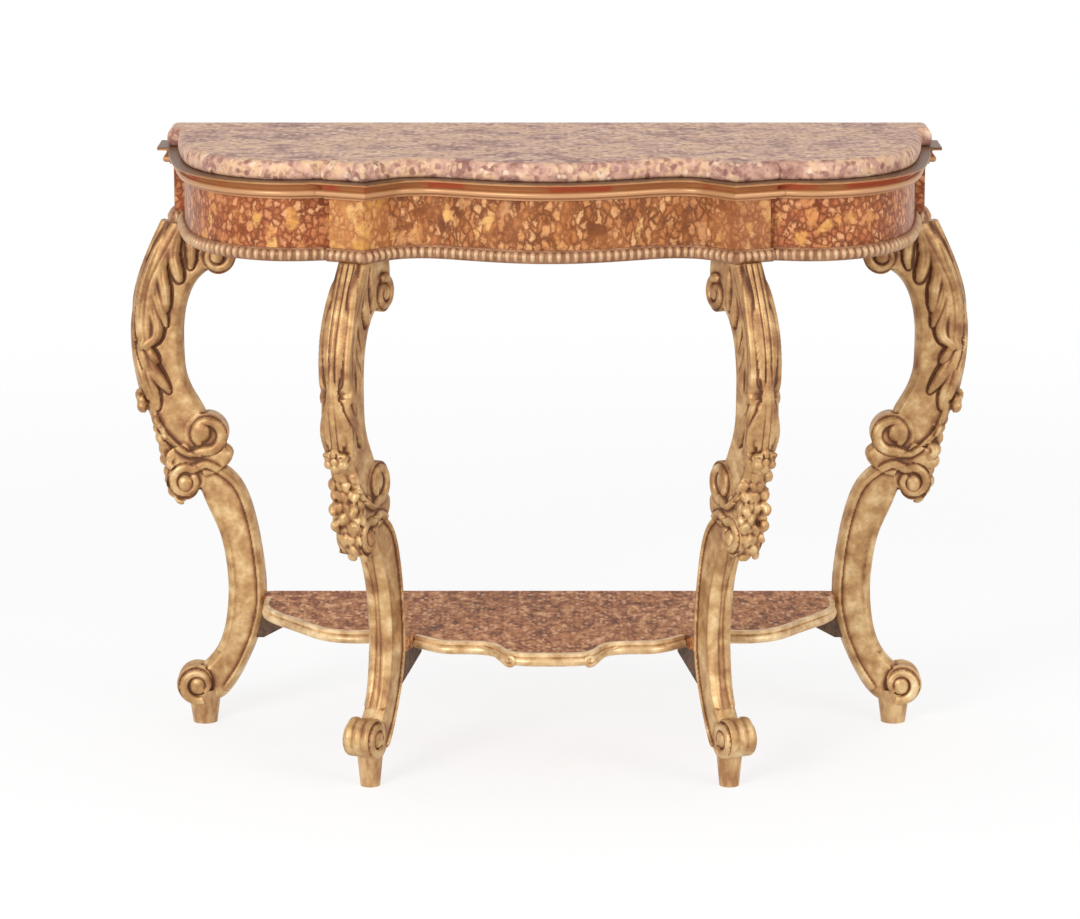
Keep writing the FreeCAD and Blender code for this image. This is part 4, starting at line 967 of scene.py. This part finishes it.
# The dark stop just above the bottom is painted shade under the round; the dark top stops are painted shadow under the
# stone
band = add(tree, "ShaderNodeValToRGB", {"Fac": level.outputs["Value"]},
           stops=[(0.10, "#B98458"), (0.20, "#A06A42"), (0.30, "#C8966A"), (0.48, "#BE8C5E"), (0.56, "#B07848"),
                  (0.66, "#C08656"), (0.88, "#BE8654"), (0.96, "#A07244"), (1.0, "#6E4C32")])
stretch = add(tree, "ShaderNodeTexNoise", {"Vector": place, "Scale": 1 / (90 * MM), "Detail": 2.0})
# The same painted shadow under the stone ends this ramp
red = add(tree, "ShaderNodeValToRGB", {"Fac": level.outputs["Value"]},
          stops=[(0.50, "#BE8C5E"), (0.58, "#B05A38"), (0.70, "#C86A46"), (0.88, "#BE6C48"), (0.96, "#A07244"),
                 (1.0, "#6E4C32")])
where = add(tree, "ShaderNodeMapRange", {"Value": stretch.outputs["Fac"], "From Min": 0.50, "From Max": 0.56})
upper_half = add(tree, "ShaderNodeMath", {0: level.outputs["Value"], 1: 0.52}, operation="GREATER_THAN")
share = add(tree, "ShaderNodeMath", {0: where.outputs["Result"], 1: upper_half.outputs["Value"]}, operation="MULTIPLY")
final = add(tree, "ShaderNodeMix", {"Factor": share.outputs["Value"], 6: band.outputs["Color"],
                                    7: red.outputs["Color"]}, data_type="RGBA")
tree.links.new(final.outputs[2], shader.inputs["Base Color"])
shader.inputs["Metallic"].default_value = 0.35
shader.inputs["Roughness"].default_value = 0.42
print("finish:", cornice_gilt.name)

# %% [markdown]
# ## Plain gilt, bare wood and steel
# The shelf's edge and the feet are gilded with no carving, and the boards, dowels and screws inside are hardly seen. So
# one noise between two colours is enough for all of them. Gilt gives the eye a soft gleam and steel a grey one. Wood is
# dull, and its grain is the same noise drawn out along the board.

# %% Plain gilt, bare wood and steel
def plain_finish(name, light, dark, size_mm, metallic, roughness, stretch=(1, 1, 1)):
    """A finish with one noise pattern between two colours, which also roughens the surface."""
    material, tree, shader, place = new_finish(name)
    along = add(tree, "ShaderNodeMapping", {"Vector": place, "Scale": stretch})
    pattern = add(tree, "ShaderNodeTexNoise", {"Vector": along.outputs["Vector"], "Scale": 1 / (size_mm * MM),
                                               "Detail": 5.0, "Roughness": 0.6})
    colour = add(tree, "ShaderNodeValToRGB", {"Fac": pattern.outputs["Fac"]}, stops=[(0.35, dark), (0.65, light)])
    bump = add(tree, "ShaderNodeBump", {"Height": pattern.outputs["Fac"], "Strength": 0.3, "Distance": 0.8 * MM})
    tree.links.new(colour.outputs["Color"], shader.inputs["Base Color"])
    tree.links.new(bump.outputs["Normal"], shader.inputs["Normal"])
    shader.inputs["Metallic"].default_value = metallic
    shader.inputs["Roughness"].default_value = roughness
    print("finish:", name)
    return material


edge_gilt = plain_finish("rubbed_gilt_shelf_edge", "#F4D6A6", "#BE9464", 22, 0.4, 0.42)
foot_gilt = plain_finish("water_gilt_feet", "#DEBA86", "#A6774E", 16, 0.5, 0.42, (1, 1, 0.4))
bare_pine = plain_finish("bare_pine_boards", "#B98F63", "#8E6840", 6, 0.0, 0.7, (0.08, 1, 1))
turned_beech = plain_finish("turned_beech_dowels", "#C9A273", "#B08658", 3, 0.0, 0.6, (1, 1, 0.1))
dull_steel = plain_finish("dull_steel_screws", "#8E8C88", "#5E5C58", 2, 1.0, 0.45)
# The brackets under the shelf are made dark as painted shade
bracket_shade_wood = plain_finish("stained_bracket_wood", "#6E5038", "#3E2C20", 8, 0.0, 0.6)

# %% [markdown]
# ## Scrolls on the shelf's edge
# The moulding on the shelf's middle swell ends in two small scrolls. They are drawn as tapered strokes on the front of
# the CAD moulding, like the strokes on the legs, and joined to a copy of it.

# %% Two small scrolls joined to the middle moulding
SCROLL_PLACE = 57
SCROLL_RADIUS = 9.0
SCROLL_START, SCROLL_SWEEP = -40, 420  # degrees
TO_THE_WALL = Vector((0, 1, 0))
edge_low, edge_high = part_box("shelf_edge_centre")
edge_middle = (edge_low.z + edge_high.z) / 2
edge_wall = wall_of(["shelf_edge_centre"])
scroll_height = edge_low.z / MM + 8
scroll_strokes = []
for side in (-1, 1):
    places = [(SCROLL_PLACE + 40, scroll_height + 6, 1.5), (SCROLL_PLACE + 26, scroll_height + 1, 3.0)]
    for t in np.linspace(0, 1, 12):
        angle = math.radians(SCROLL_START - SCROLL_SWEEP * t)
        reach = SCROLL_RADIUS * (1 - 0.8 * t)
        places.append((SCROLL_PLACE + reach * math.cos(angle), scroll_height + reach * math.sin(angle), 3.4 - 0.8 * t))
    stroke = []
    for x, z, r in places:
        front = edge_wall.ray_cast(Vector((side * x * MM, cad_low.y - 0.1, edge_middle)), TO_THE_WALL)[0]
        stroke.append((side * x, front.y / MM - 0.3 * r, z, r))
    scroll_strokes.append(stroke)
scrolls = draw_strokes("shelf_scrolls", scroll_strokes)
bpy.ops.object.shade_smooth()
edge = clean_copy("shelf_edge_centre", "scrolled_shelf_edge")
scrolls.select_set(True)
bpy.ops.object.join()
edge.data.materials.clear()
edge.data.materials.append(edge_gilt)
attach(edge, "frame")
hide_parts("shelf_edge_centre")
print(edge.name, "faces:", len(edge.data.polygons))

# %% [markdown]
# ## Dressing the CAD pieces
# Every CAD piece gets one finish. Pieces of one kind have names that start alike, so a short list of such beginnings is
# enough, and the longest one that fits a name is used. Replaced pieces get one too, though they aren't shown.

# %% Give every CAD piece its finish
FINISH_OF = {
    "top_slab": stone, "cornice": cornice_gilt, "bead": bead_gilt, "apron_rail": frieze_centre,
    "front_post_left": frieze_pale, "front_post_right": frieze_dark, "back_post": frieze_side,
    "side_rail": frieze_side, "back_rail": bare_pine, "top_bearer": bare_pine, "glue_blocks": bare_pine,
    "leg_dowels": turned_beech, "shelf_screws": dull_steel,
    "shelf_board": shelf_paint, "shelf_edge": edge_gilt, "shelf_bracket": bracket_shade_wood, "foot": foot_gilt,
    "leg": gilding, "knee": gilding,
}
for name, piece in nodes.items():
    start = max((key for key in FINISH_OF if name.startswith(key)), key=len)
    piece.data.materials.clear()
    piece.data.materials.append(FINISH_OF[start])
print("finished pieces:", len(nodes))
